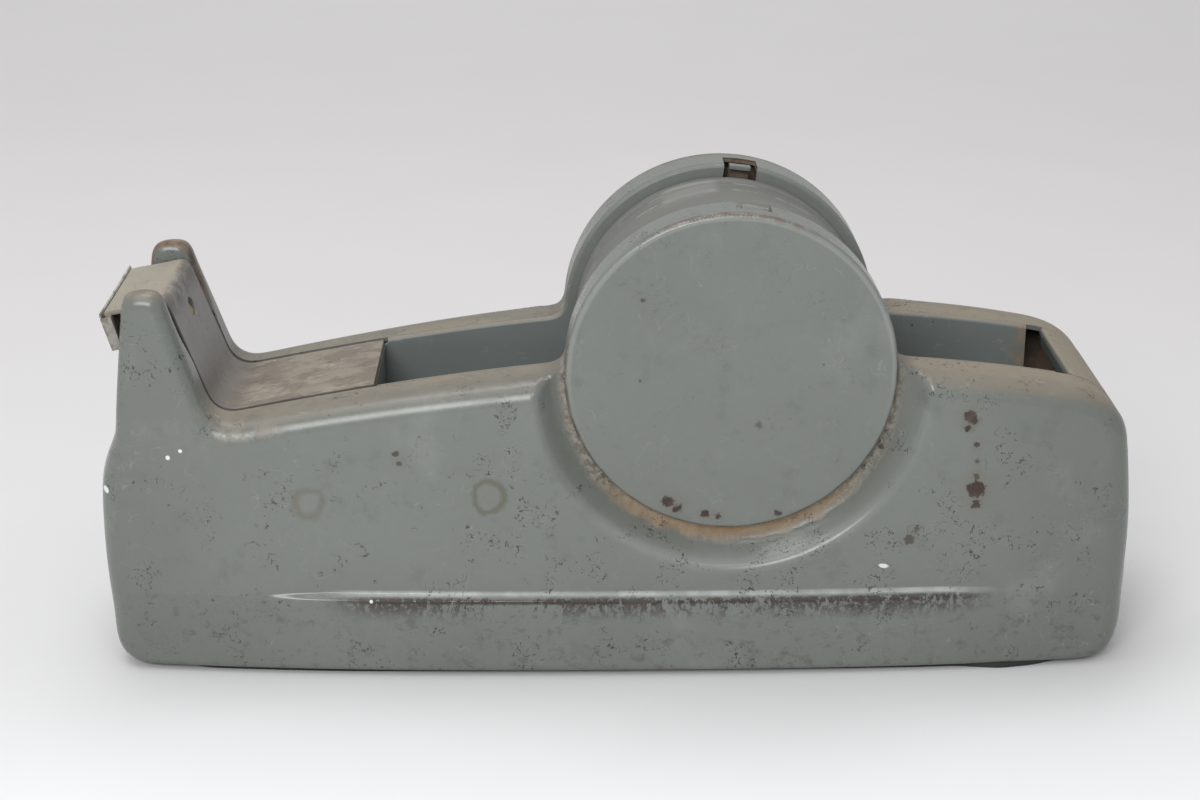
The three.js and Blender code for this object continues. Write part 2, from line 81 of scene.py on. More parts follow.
AXLE_X = (AXLE_LOW[0] + AXLE_HIGH[0]) / 2
AXLE_Z = (AXLE_LOW[2] + AXLE_HIGH[2]) / 2
FRONT = AXLE_X - SHELL_LOW[0] - 0.2
REAR = SHELL_HIGH[0] - AXLE_X
FOOT_Z = SHELL_LOW[2]
BOSS_R = SHELL_HIGH[2] - AXLE_Z
SHELL_IN = SHELL_LOW[1]
WELL_HALF = SHELL_IN - 1.5
WELL_FRONT = AXLE_X - FRAME_LOW[0]
WELL_REAR = FRAME_HIGH[0] - AXLE_X
WELL_FLOOR = FRAME_LOW[2] + 1.2
STRIP_HALF = NOSE_HIGH[1]
HUB_R = (SLEEVE_HIGH[0] - SLEEVE_LOW[0]) / 2
HUB_HALF = SLEEVE_HIGH[1]
NOTCH_OUT = TAB_HIGH[1] + 1.9
STRIP_FRONT_X = box_mm("rear_strip")[0][0] - AXLE_X

# The spots that the outlines of the front are drawn through, from the axle and the desk.
HORN_TOP = NOSE_HIGH[2] + 3.6
CUTTER_CORNER = (NOSE_LOW[0] - AXLE_X, NOSE_HIGH[2] - 3.2)
PLATFORM_BACK = (CUTTER_CORNER[0] + 15.6, NOSE_HIGH[2])
SLOPE_FOOT = (PLATFORM_BACK[0] + 8.8, PLATFORM_BACK[1] - 24.8)
FLOOR_LOW = (SLOPE_FOOT[0] + 7.2, SLOPE_FOOT[1] - 4.6)
TOP_FRONT_Z = AXLE_Z - 0.6
TOP_REAR_Z = AXLE_Z + 0.7


# ---- sizes and colours a user would change ----------------------------------------------------


def size(name, description, default, low=0.1, high=60.0):
    return FloatProperty(name=name, description=description, default=default, min=low, max=high)


def colour(name, description, default):
    return FloatVectorProperty(name=name, description=description, default=default,
                               subtype="COLOR", size=3, min=0.0, max=1.0)


class ShellSizes(PropertyGroup):
    """Sizes of the pressed side shells, in millimetres."""

    sheet: size("Sheet", "Thickness of the pressed sheet", 1.2)
    boss_face: size("Boss face", "Middle plane to the boss's flat face", 30.0)
    groove: size("Groove", "Depth of the groove round the boss", 2.8)
    groove_width: size("Groove width", "Groove's width out to the flank", 7.6)
    ledge_height: size("Ledge height", "Height of the plinth's ledge", 21.9)
    ledge_depth: size("Ledge depth", "How far the plinth stands out", 1.7)
    shoulder_roll: size("Shoulder roll", "Radius along the top edge", 5.6)
    corner_roll: size("Corner roll", "Radius down the ends", 8.0)
    horn_roll: size("Horn roll", "Radius round the horns", 3.6)
    boss_roll: size("Boss roll", "Radius round the boss's face", 1.1)


class NoseSizes(PropertyGroup):
    """Sizes of the nose plate and the cutter, in millimetres."""

    sheet: size("Sheet", "Thickness of the nose plate", 1.4)
    lip: size("Lip", "Length of the lip below the cutter", 9.0)
    proud: size("Cutter overhang", "The cutter passes the nose plate's sides by this", 2.4, 0.0, 4.0)
    hole: size("Hole", "Radius of the rivet's hole", 2.6)
    teeth: IntProperty(name="Teeth", description="Teeth along the cutter", default=34, min=4, max=80)
    tooth: size("Tooth", "Height of a tooth", 1.1)


class PaintColours(PropertyGroup):
    """Colours of the finishes."""

    enamel: colour("Enamel", "Grey-green enamel", (0.160, 0.172, 0.158))
    well: colour("Well", "Enamel inside the well", (0.150, 0.168, 0.160))
    grime: colour("Grime", "Tan dirt and old adhesive", (0.225, 0.192, 0.146))
    dark_rust: colour("Dark rust", "Bare and burnt spots", (0.032, 0.014, 0.010))


class StageSizes(PropertyGroup):
    """The camera and the floor."""

    lens: size("Lens", "Focal length in millimetres", 64.5, 20.0, 200.0)
    floor: size("Floor", "Half width of the floor in metres", 6.0, 1.0, 20.0)


def sizes(group):
    return getattr(bpy.context.scene, group)


# ---- outlines -----------------------------------------------------------------------------------


def curve_through(start, *legs, step=1.0):
    """Points along straight legs (an end) and rounded ones (a control point and an end)."""
    points = [np.array(start, float)]
    for leg in legs:
        first = points[-1]
        last = np.array(leg[-1], float)
        middle = np.array(leg[0], float) if len(leg) == 2 else (first + last) / 2
        length = np.linalg.norm(middle - first) + np.linalg.norm(last - middle)
        for t in np.linspace(0, 1, max(2, int(length / step)) + 1)[1:]:
            points.append(first * (1 - t) ** 2 + 2 * middle * t * (1 - t) + last * t * t)
    return np.array(points)


def even(points, step):
    """The same line with its points evenly spaced."""
    lengths = np.r_[0, np.cumsum(np.linalg.norm(np.diff(points, axis=0), axis=1))]
    at = np.linspace(0, lengths[-1], int(lengths[-1] / step) + 1)
    return np.stack([np.interp(at, lengths, points[:, k]) for k in (0, 1)], axis=1)


def eased(points, rounds):
    """The line with its kinks worked out, its two ends held."""
    points = points.copy()
    for _ in range(rounds):
        points[1:-1] = (points[:-2] + 2 * points[1:-1] + points[2:]) / 4
    return points


NOTCH_HALF = 4.4
NOTCH_DEEP = 6.0
SLOT_HALF = 2.8
LIFT_TILT = math.radians(7)
FILLET = 3.6
SEAM = 0.05
GAP_IN = 0.3


def notch_angles():
    """The turns from upright to the notch's two edges."""
    spread = math.asin(NOTCH_HALF / BOSS_R)
    return LIFT_TILT - spread, LIFT_TILT + spread


def boss_arc():
    """The boss's rim from front to rear, with points at both edges of the notch."""
    rise = math.asin(FILLET / BOSS_R)
    near, far = notch_angles()
    turns = np.concatenate([
        np.linspace(-math.pi / 2 + rise, near, 66)[:-1],
        np.linspace(near, far, 11)[:-1],
        np.linspace(far, math.pi / 2 - 1.2 * rise, 56),
    ])
    return np.stack([BOSS_R * np.sin(turns), AXLE_Z + BOSS_R * np.cos(turns)], axis=1)


# The slope behind the cutter, its foot and the front's long top edge.
SLOPE_AND_TOP = (
    (SLOPE_FOOT,),
    ((SLOPE_FOOT[0] + 1.9, FLOOR_LOW[1] - 0.6), FLOOR_LOW),
    ((-BOSS_R * 1.95, TOP_FRONT_Z - 3.5), (-BOSS_R - FILLET, TOP_FRONT_Z)),
)


def foot_to_boss():
    """The front outline: up from the foot, over the horn and along the top to the boss."""
    f = -FRONT
    return curve_through(
        (f + 11, FOOT_Z),
        ((f + 2.6, FOOT_Z), (f + 1.6, 10)),
        ((f + 0.2, 28),),
        ((f - 0.3, 43), (f + 0.6, 49.5)),
        ((f + 1.8, 55), (f + 4, 59)),
        ((f + 5.4, 61.8), (f + 5.6, 66)),
        ((f + 8.9, HORN_TOP - 4.5),),
        ((f + 9.3, HORN_TOP), (f + 13.2, HORN_TOP)),
        ((f + 16.6, HORN_TOP),),
        ((f + 19.6, HORN_TOP), (PLATFORM_BACK[0] + 1.1, HORN_TOP - 5)),
        *SLOPE_AND_TOP,
        ((-BOSS_R, TOP_FRONT_Z + 0.3), tuple(boss_arc()[0])),
    )


def boss_to_foot():
    """The rear outline: along the top from the boss, then down to the foot."""
    return curve_through(
        tuple(boss_arc()[-1]),
        ((BOSS_R, TOP_REAR_Z + 0.2), (BOSS_R + FILLET, TOP_REAR_Z)),
        ((BOSS_R + 27, TOP_REAR_Z - 1.7), (STRIP_FRONT_X, TOP_REAR_Z - 4.8)),
        ((REAR - 7, TOP_REAR_Z - 7.2), (REAR - 3.4, TOP_REAR_Z - 16.5)),
        ((REAR, TOP_REAR_Z - 32), (REAR, 32)),
        ((REAR - 0.2, 14),),
        ((REAR - 1, FOOT_Z), (REAR - 10, FOOT_Z)),
    )


def side_loop():
    """The body's side outline: up the front, over the boss, down the rear and back underneath."""
    front = eased(even(foot_to_boss(), 1.0), 4)
    rear = eased(even(boss_to_foot(), 1.0), 4)
    under = even(np.array([rear[-1], front[0]]), 2.0)
    return np.concatenate([front[:-1], boss_arc(), rear[1:], under[1:-1]])


def inward(loop):
    """Unit normals that point into a closed loop which runs clockwise."""
    along = np.roll(loop, -1, axis=0) - np.roll(loop, 1, axis=0)
    along /= np.linalg.norm(along, axis=1)[:, None]
    return np.stack([along[:, 1], -along[:, 0]], axis=1)


# ---- the flank as a surface ---------------------------------------------------------------------


def smooth_step(value, low, high):
    t = np.clip((value - low) / (high - low), 0, 1)
    return t * t * (3 - 2 * t)


def soft_min(a, b, reach):
    h = np.clip(0.5 + 0.5 * (b - a) / reach, 0, 1)
    return b * (1 - h) + a * h - reach * h * (1 - h)


def flank(x, z):
    """Half width of the body, before its edges are rolled."""
    shell = sizes("dispenser_shell")
    fall = np.where(x < -22, 5.2 * (np.abs(x + 22) / 124) ** 2.6, 4.8 * (np.abs(x + 22) / 115) ** 2.6)
    foot = SHELL_HIGH[1] - fall
    upper_fall = np.where(x < 5, 7.6 * (np.abs(x - 5) / 150) ** 1.9, 3.4 * (np.abs(x - 5) / 95) ** 2.2)
    upper = SHELL_HIGH[1] - 2.1 - upper_fall
    rise = np.clip((z - shell.ledge_height) / 41, 0, 1)
    fade = smooth_step(x, -FRONT + 34, -FRONT + 62) * smooth_step(-x, -REAR + 30, -REAR + 52)
    above = smooth_step(z, shell.ledge_height - 0.9, shell.ledge_height + 0.9)
    ledge = shell.ledge_depth * fade * above * (1 - 0.75 * rise)
    horn = 0.055 * np.clip(z - 63, 0, None) * (x < -BOSS_R)
    return foot * (1 - rise) + upper * rise - ledge - horn


def groove(out):
    """The surface round the boss: a narrow floor, then a sweep up to the flank."""
    shell = sizes("dispenser_shell")
    floor = shell.boss_face - shell.groove
    corner = 0.7 * np.clip(1 - out / 1.5, 0, 1) ** 2
    sweep = 9.2 * (np.clip(out - 1.2, 0, None) / shell.groove_width) ** 2.1
    return floor + corner + sweep


def roll(distance, radius):
    """How far a quarter-round edge has dropped at a distance in from the edge."""
    inside = np.clip(radius - distance, 0, radius)
    return radius - np.sqrt(np.clip(radius ** 2 - inside ** 2, 0, None))


def roll_radii(loop):
    """The edge radius at each point of the side outline."""
    shell = sizes("dispenser_shell")
    x, z = loop[:, 0], loop[:, 1]
    radii = np.full(len(loop), shell.shoulder_roll)
    ends = (z > 8) & (z < 58) & ((x < -FRONT + 8) | (x > REAR - 12))
    radii[ends] = shell.corner_roll
    radii[(z > 62) & (x < SLOPE_FOOT[0] + 2)] = shell.horn_roll
    radii[z < 4] = 2.0
    on_boss = (np.hypot(x, z - AXLE_Z) < BOSS_R + 0.01) & (z > AXLE_Z)
    radii[on_boss] = shell.boss_roll
    for _ in range(60):
        radii = (np.roll(radii, 1) + 2 * radii + np.roll(radii, -1)) / 4
        radii[on_boss] = shell.boss_roll
    return radii


def nearest(points, loop):
    """For each point, the closest point of the loop: its index and its distance."""
    following = np.roll(loop, -1, axis=0)
    leg = following - loop
    length2 = (leg ** 2).sum(1)
    index = np.zeros(len(points), int)
    distance = np.zeros(len(points))
    for start in range(0, len(points), 2000):
        part = points[start:start + 2000, None, :]
        t = np.clip(((part - loop) * leg).sum(2) / length2, 0, 1)
        gap = np.linalg.norm(part - loop - t[:, :, None] * leg, axis=2)
        index[start:start + 2000] = gap.argmin(1)
        distance[start:start + 2000] = gap.min(1)
    return index, distance


GROOVE_BLEND = 2.2


def shell_surface(points, loop, radii):
    """The outer surface's distance from the middle plane, at places in side view."""
    shell = sizes("dispenser_shell")
    x, z = points[:, 0], points[:, 1]
    index, distance = nearest(points, loop)
    out = np.hypot(x, z - AXLE_Z) - BOSS_R
    rolled = flank(x, z) - roll(distance, radii[index])
    around = soft_min(rolled, groove(np.clip(out, 0, None)), GROOVE_BLEND)
    disc = shell.boss_face - roll(np.clip(-out, 0, None), shell.boss_roll)
    return np.where(out <= 0.005, disc, around)


class Scatter:
    """Places in side view, each refused where one already lies too close."""

    def __init__(self, cell):
        self.cell = cell
        self.places = []
        self.cells = {}

    def crowded(self, x, z, reach):
        column, row = int(x // self.cell), int(z // self.cell)
        span = int(math.ceil(reach / self.cell))
        for i in range(column - span, column + span + 1):
            for k in range(row - span, row + span + 1):
                for a, b in self.cells.get((i, k), ()):
                    if (a - x) ** 2 + (b - z) ** 2 < reach * reach:
                        return True
        return False

    def put(self, x, z, reach=0.0):
        if reach and self.crowded(x, z, reach):
            return
        self.places.append((x, z))
        self.cells.setdefault((int(x // self.cell), int(z // self.cell)), []).append((x, z))


def ring_offsets(radius):
    turns = np.radians([14, 28, 42, 56, 70, 82, 90])
    return np.r_[radius * (1 - np.cos(turns)), 1.2 * radius, 1.5 * radius]


def flank_places(loop, radii):
    """Where the shell's surface gets its points: close where it bends, wider on the flat."""
    shell = sizes("dispenser_shell")
    scatter = Scatter(1.0)
    for x, z in loop:
        scatter.put(x, z)
    ring_start = len(scatter.places)
    rise = math.radians(1.5)
    for a in np.arange(math.pi / 2 + rise, 1.5 * math.pi - rise, math.radians(1.2)):
        scatter.put(BOSS_R * math.sin(a), AXLE_Z + BOSS_R * math.cos(a))
    ring_end = len(scatter.places)
    steps = [0.1, 0.35, 0.75, 1.2, 1.8, 2.6, 3.5, 4.5, 5.6, 6.8, 8.0, 9.2, 10.6, 12.2]
    turns = np.arange(math.pi / 2 - 0.2, 1.5 * math.pi + 0.2, math.radians(1.3))
    round_boss = [(BOSS_R + out, a, 0.09 if out < 0.3 else 0.22) for out in steps for a in turns]
    round_boss += [(BOSS_R - share * shell.boss_roll, a, 0.08)
                   for share in (0.12, 0.3, 0.55, 0.8, 1.0, 1.5)
                   for a in np.arange(0, 2 * math.pi, math.radians(1.3))]
    normals = inward(loop)
    for k in range(9):
        for i, (x, z) in enumerate(loop):
            d = ring_offsets(radii[i])[k]
            px, pz = x + normals[i, 0] * d, z + normals[i, 1] * d
            if math.hypot(px, pz - AXLE_Z) > BOSS_R + 0.3:
                scatter.put(px, pz, min(0.3, 0.12 * radii[i]))
    for radius, a, reach in round_boss:
        scatter.put(radius * math.sin(a), AXLE_Z + radius * math.cos(a), reach)
    ledge = shell.ledge_height
    for dz in (-2, -1.2, -0.9, -0.6, -0.3, 0, 0.3, 0.6, 0.9, 1.2, 2):
        for x in np.arange(-FRONT, REAR, 2.4):
            scatter.put(x, ledge + dz, 0.2)
    for x in np.arange(-FRONT, REAR, 2.6):
        for z in np.arange(FOOT_Z, AXLE_Z + BOSS_R, 2.6):
            scatter.put(x, z, 1.3)
    return np.array(scatter.places), range(ring_start, ring_end)


def inside_loop(points, loop):
    """Which places lie within a closed loop."""
    x, z = points[:, 0], points[:, 1]
    inside = np.zeros(len(points), bool)
    for (x0, z0), (x1, z1) in zip(loop, np.roll(loop, -1, axis=0)):
        crosses = (z0 > z) != (z1 > z)
        if crosses.any():
            cut = x0 + (z - z0) * (x1 - x0) / (z1 - z0 if z1 != z0 else 1e-9)
            inside ^= crosses & (x < cut)
    return inside


# ---- meshes -----------------------------------------------------------------------------------


def new_piece(name, points, faces, sharp=35):
    """A mesh object at the origin from points in millimetres, measured from the axle."""
    shift = np.array([AXLE_X, 0, 0])
    mesh = bpy.data.meshes.new(name)
    mesh.from_pydata([tuple(p) for p in (np.array(points, float) + shift) * MM], [], faces)
    mesh.validate()
    piece = bpy.data.objects.new(name, mesh)
    bpy.context.scene.collection.objects.link(piece)
    smooth(piece, sharp)
    return piece


def smooth(piece, sharp=35):
    piece.data.shade_smooth()
    piece.data.set_sharp_from_angle(angle=math.radians(sharp))


def tidy_normals(piece, merge=0.02):
    work = bmesh.new()
    work.from_mesh(piece.data)
    bmesh.ops.remove_doubles(work, verts=work.verts, dist=merge * MM)
    bmesh.ops.recalc_face_normals(work, faces=work.faces)
    work.to_mesh(piece.data)
    work.free()


def face_towards(piece, towards):
    """Turns an open sheet over if most of it faces away from a direction at each face."""
    score = sum(towards(face.center / MM - Vector((AXLE_X, 0, 0))).dot(face.normal) * face.area
                for face in piece.data.polygons)
    if score < 0:
        piece.data.flip_normals()


def apply_modifiers(piece):
    """The piece's evaluated mesh takes the place of its modifiers."""
    graph = bpy.context.evaluated_depsgraph_get()
    made = bpy.data.meshes.new_from_object(piece.evaluated_get(graph))
    old = piece.data
    piece.modifiers.clear()
    piece.data = made
    made.name = old.name
    bpy.data.meshes.remove(old)


def thicken(piece, sheet, bevel, segments):
    wall = piece.modifiers.new("sheet", "SOLIDIFY")
    wall.thickness = sheet * MM
    wall.offset = -1
    if bevel:
        edge = piece.modifiers.new("edge", "BEVEL")
        edge.width = bevel * MM
        edge.segments = segments
        edge.limit_method = "ANGLE"
        edge.angle_limit = math.radians(50)
    apply_modifiers(piece)


def mirrored(piece, name):
    """The same piece on the other side of the middle plane."""
    mesh = piece.data.copy()
    mesh.name = name
    flat = np.zeros(len(mesh.vertices) * 3)
    mesh.vertices.foreach_get("co", flat)
    flat[1::3] *= -1
    mesh.vertices.foreach_set("co", flat)
    mesh.flip_normals()
    copy = bpy.data.objects.new(name, mesh)
    bpy.context.scene.collection.objects.link(copy)
    return copy


def cut(piece, cutter):
    """Takes one closed solid out of another, and deletes the second."""
    knife = piece.modifiers.new("cut", "BOOLEAN")
    knife.operation = "DIFFERENCE"
    knife.object = cutter
    knife.solver = "EXACT"
    apply_modifiers(piece)
    bpy.data.objects.remove(cutter)


def sheet_along(name, line, half, columns):
    """A sheet whose outer face follows a line in side view, as wide on each side."""
    ys = np.linspace(-half, half, columns)
    points = [(x, y, z) for x, z in line for y in ys]
    faces = [(i * columns + k, (i + 1) * columns + k, (i + 1) * columns + k + 1, i * columns + k + 1)
             for i in range(len(line) - 1) for k in range(columns - 1)]
    return new_piece(name, points, faces, 60)


def ring_faces(rings, count):
    """The quads between closed rings of points, each ring with the same count."""
    return [(j * count + k, j * count + (k + 1) % count, (j + 1) * count + (k + 1) % count,
             (j + 1) * count + k) for j in range(rings - 1) for k in range(count)]


def capped(name, rings, sharp=35):
    """A closed solid through rings of places, with a face over each end."""
    count = len(rings[0])
    last = (len(rings) - 1) * count
    faces = ring_faces(len(rings), count)
    faces += [tuple(reversed(range(count))), tuple(range(last, last + count))]
    piece = new_piece(name, [tuple(p) for ring in rings for p in ring], faces, sharp)
    tidy_normals(piece, merge=0.001)
    smooth(piece, sharp)
    return piece


def turned(name, base, axis, profile, segments, sharp=35):
    """A round solid along an axis from a place, by its (radius, height) profile."""
    turn = axis.to_track_quat("Z", "Y")
    turns = [2 * math.pi * k / segments for k in range(segments)]
    rings = [[base + turn @ Vector((r * math.cos(a), r * math.sin(a), h)) for a in turns]
             for r, h in profile]
    return capped(name, rings, sharp)


def walled(piece, towards, sheet, bevel=0.0, segments=2, sharp=35, merge=0.02):
    """Gives an open sheet its wall, inwards from the face that looks towards a direction."""
    tidy_normals(piece, merge)
    face_towards(piece, towards)
    thicken(piece, sheet, bevel, segments)
    smooth(piece, sharp)
    return piece


def lathe_y(name, profile, segments):
    """A ring round the axle from a closed section of (radius, Y)."""
    n = len(profile)
    points = []
    for k in range(segments):
        a = 2 * math.pi * k / segments
        points += [(r * math.sin(a), y, AXLE_Z + r * math.cos(a)) for r, y in profile]
    faces = [(k * n + j, k * n + (j + 1) % n, (k + 1) % segments * n + (j + 1) % n,
              (k + 1) % segments * n + j) for k in range(segments) for j in range(n)]
    piece = new_piece(name, points, faces)
    tidy_normals(piece, merge=0.001)
    smooth(piece)
    return piece


# ---- side shells --------------------------------------------------------------------------------


def build_shell():
    """The right-hand shell: flank, boss and groove in one, and the flange turned inwards."""
    loop = side_loop()
    radii = roll_radii(loop)
    places, ring = flank_places(loop, radii)
    keep = np.ones(len(places), bool)
    _, distance = nearest(places[len(loop):], loop)
    keep[len(loop):] = inside_loop(places[len(loop):], loop) & (distance > 0.035)
    order = np.cumsum(keep) - 1
    edges = [(i, (i + 1) % len(loop)) for i in range(len(loop))]
    ring = [i for i in ring if keep[i]]
    edges += [(order[a], order[b]) for a, b in zip(ring, ring[1:])
              if np.linalg.norm(places[a] - places[b]) < 1.5]
    flat, _, faces, origin, _, _ = delaunay_2d_cdt(
        [Vector(p) for p in places[keep]], [(int(a), int(b)) for a, b in edges], [], 1, 1e-5)
    flat = np.array([tuple(p) for p in flat])
    where = {source: i for i, sources in enumerate(origin) for source in sources}
    height = shell_surface(flat, loop, radii)
    points = [(x, y, z) for (x, z), y in zip(flat, height)]
    faces = [tuple(face) for face in faces]
    edge = [where[i] for i in range(len(loop))]
    add_flange(points, faces, edge, loop)
    piece = new_piece("right_shell", points, faces)
    return walled(piece, lambda at: Vector((0, 1, 0)), sizes("dispenser_shell").sheet, sharp=42)


def add_flange(points, faces, edge, loop):
    """Rows of faces from the outline in to the flange's inner edge, open at the notch."""
    rows = 6
    levels = []
    for i in edge:
        _, y, z = points[i]
        end = SHELL_IN + SEAM
        if z < 6:
            end = max(end, y - 2.5 - 2.0 * max(z - 4, 0))
        levels.append([y + (end - y) * k / rows for k in range(rows + 1)])
    curl = 2.6 * smooth_step(loop[:, 1], 78, 88) * (loop[:, 0] < SLOPE_FOOT[0])
    for i in np.flatnonzero(curl > 0):
        y = levels[i][0]
        bend = SHELL_IN + SEAM + curl[i]
        straight = [y + (bend - y) * k / 3 for k in range(4)]
        levels[i] = straight + [bend - curl[i] * math.sin(math.radians(a)) for a in (30, 60, 90)]
    near, far = notch_angles()
    turn = np.arctan2(loop[:, 0], loop[:, 1] - AXLE_Z)
    radius = np.hypot(loop[:, 0], loop[:, 1] - AXLE_Z)
    on_boss = (radius < BOSS_R + 0.01) & (loop[:, 1] > AXLE_Z + FILLET - 0.1)
    notch_row = 3
    for i in np.flatnonzero(on_boss):
        y = levels[i][0]
        above = [y + (NOTCH_OUT - y) * k / notch_row for k in range(notch_row + 1)]
        below = [NOTCH_OUT + (SHELL_IN + SEAM - NOTCH_OUT) * k / 3 for k in range(1, 4)]
        levels[i] = above + below
    normals = inward(loop)
    row_index = [edge]
    for k in range(1, rows + 1):
        start = len(points)
        inset = curl * (1 - math.cos(math.radians(max(0, k - 3) * 30)))
        for i, place in enumerate(loop + normals * inset[:, None]):
            points.append((place[0], levels[i][k], place[1]))
        row_index.append(list(range(start, start + len(loop))))
    horn_cap = np.flatnonzero((curl > 0) & (loop[:, 1] > 84))
    faces.append(tuple(row_index[rows][i] for i in horn_cap))
    n = len(loop)
    for k in range(rows):
        for i in range(n):
            j = (i + 1) % n
            middle = (turn[i] + turn[j]) / 2
            if k >= notch_row and on_boss[i] and on_boss[j] and near < middle < far:
                continue
            faces.append((row_index[k][i], row_index[k][j], row_index[k + 1][j], row_index[k + 1][i]))


# ---- the well between the shells ----------------------------------------------------------------


def build_well():
    """Both inner walls and the floor between them, with the axle slots open at the rim."""
    edge_roll = 1.0
    front = 1.2 - WELL_FRONT
    loop = side_loop()
    normals = inward(loop)
    top = [i for i, (x, z) in enumerate(loop)
           if z > 60 and front < x < WELL_REAR - GAP_IN]
    turns = np.radians([0, 20, 40, 60, 80, 90])
    points = []
    faces = []
    near, far = notch_angles()
    corners = []
    for side in (-1, 1):
        rows = [[(x, side * (SHELL_IN - SEAM), z) for x, z in loop[top]]]
        for a in turns:
            inset = edge_roll * (1 - math.cos(a))
            y = WELL_HALF + edge_roll * (1 - math.sin(a))
            rows.append([(x + normals[i, 0] * inset, side * y, z + normals[i, 1] * inset)
                         for i, (x, z) in zip(top, loop[top])])
        start = len(points)
        n = len(top)
        for row in rows:
            points += row
        turn = [math.atan2(x, z - AXLE_Z) if z > AXLE_Z + FILLET else 9 for x, z in loop[top]]
        for k in range(len(rows) - 1):
            for i in range(n - 1):
                if near < (turn[i] + turn[i + 1]) / 2 < far:
                    continue
                a = start + k * n + i
                faces.append((a, a + 1, a + n + 1, a + n)[::side])
        last = start + (len(rows) - 1) * n
        before = [last + i for i in range(n)
                  if turn[i] > 8 and loop[top[i], 0] < 0 or turn[i] <= near + 1e-6]
        after = [last + i for i in range(n)
                 if turn[i] > 8 and loop[top[i], 0] > 0 or far - 1e-6 <= turn[i] < 8]
        y = side * WELL_HALF
        slot = slot_outline()
        slot_start = len(points)
        points += [(x, y, z) for x, z in slot]
        ends = len(points)
        points += [(WELL_REAR - GAP_IN, y, WELL_FLOOR), (front, y, WELL_FLOOR)]
        top_z = points[before[0]][2]
        corners += [len(points), ends + 1]
        points.append((front, y, top_z - 0.9))
        wall = before + list(range(slot_start, slot_start + len(slot))) + after + [ends, ends + 1, ends + 2]
        faces.append(tuple(wall[::side]))
    per_side = len(points) // 2
    left, right = per_side - 3, 2 * per_side - 3
    faces.append((left, right, right + 1, left + 1))
    faces.append((corners[0], corners[2], corners[3], corners[1]))
    piece = new_piece("well_walls", points, faces)
    return walled(piece, lambda at: Vector((0, -at.y, 0.2)), 1.0, sharp=40, merge=0.005)



def slot_outline():
    """The axle slot in the wall, from the notch's near edge down, round the axle and back up."""
    along = np.array([math.sin(LIFT_TILT), math.cos(LIFT_TILT)])
    across = np.array([along[1], -along[0]])
    axle = np.array([0, AXLE_Z])
    mouth = BOSS_R - NOTCH_DEEP
    corners = [axle + along * mouth - across * NOTCH_HALF, axle + along * mouth - across * SLOT_HALF]
    corners += [axle + SLOT_HALF * (math.cos(a) * -across - math.sin(a) * along)
                for a in np.linspace(0, math.pi, 13)]
    corners += [axle + along * mouth + across * SLOT_HALF, axle + along * mouth + across * NOTCH_HALF]
    return corners


# ---- nose plate, cutter and strips ----------------------------------------------------------------


NOSE_STEP = 0.7


def nose_line():
    """The nose plate's outer face in side view, from the lip's foot to the well."""
    nose = sizes("dispenser_nose")
    start = curve_through(
        (CUTTER_CORNER[0] + 2.6, CUTTER_CORNER[1] - nose.lip),
        ((CUTTER_CORNER[0] + 0.2, CUTTER_CORNER[1] - 0.8),),
        (CUTTER_CORNER, (CUTTER_CORNER[0] + 1.0, CUTTER_CORNER[1] + 0.2)),
        ((PLATFORM_BACK[0] - 2.4, PLATFORM_BACK[1] - 0.6),),
        (PLATFORM_BACK, (PLATFORM_BACK[0] + 0.9, PLATFORM_BACK[1] - 2.4)),
        *SLOPE_AND_TOP,
    )
    line = even(start, NOSE_STEP)
    return line[line[:, 0] < 1.3 - WELL_FRONT]


def slope_place(down, out=0.0):
    """A place on the slope behind the cutter, by its distance from the top edge."""
    run = np.array(SLOPE_FOOT) - np.array(PLATFORM_BACK)
    run /= np.linalg.norm(run)
    spot = np.array(PLATFORM_BACK) + run * down + np.array([-run[1], run[0]]) * out
    return spot[0], spot[1]


RIVET_DOWN = 9.0
RIVET_Y = 2.0


def build_nose():
    nose = sizes("dispenser_nose")
    piece = sheet_along("nose_sheet", nose_line(), STRIP_HALF - 0.5, 25)
    rng = np.random.default_rng(5)
    dents = [(rng.uniform(-150, -95), rng.uniform(-14, 14), rng.uniform(4, 9), rng.uniform(-0.14, 0.1))
             for _ in range(16)]
    for vertex in piece.data.vertices:
        x, y = vertex.co.x / MM - AXLE_X, vertex.co.y / MM
        for dx, dy, reach, depth in dents:
            fall = ((x - dx) ** 2 + (y - dy) ** 2) / reach ** 2
            vertex.co.z += depth * MM * math.exp(-fall)
    walled(piece, lambda at: Vector((-0.2, 0, 1)), nose.sheet, 0.3)
    low, high = (Vector((x, RIVET_Y, z)) for x, z in (slope_place(RIVET_DOWN, out) for out in (-6, 4)))
    depth = (high - low).length
    cut(piece, turned("hole", low, high - low, [(nose.hole, 0), (nose.hole, depth)], 40))
    smooth(piece, 35)
    return piece


def build_rivet():
    """A domed rivet head on the bracket, seen a little low in the nose plate's hole."""
    x, z = slope_place(RIVET_DOWN + 0.5, -1.3)
    a = math.atan2(SLOPE_FOOT[0] - PLATFORM_BACK[0], PLATFORM_BACK[1] - SLOPE_FOOT[1])
    axis = Vector((math.cos(a), 0, math.sin(a)))
    profile = [(1.9, -0.2), (2.0, 0.15), (1.7, 0.55), (1.1, 0.85), (0.45, 0.98)]
    return turned("rivet_head", Vector((x, RIVET_Y, z)), axis, profile, 32, 60)


BLADE_SHEET = 0.45


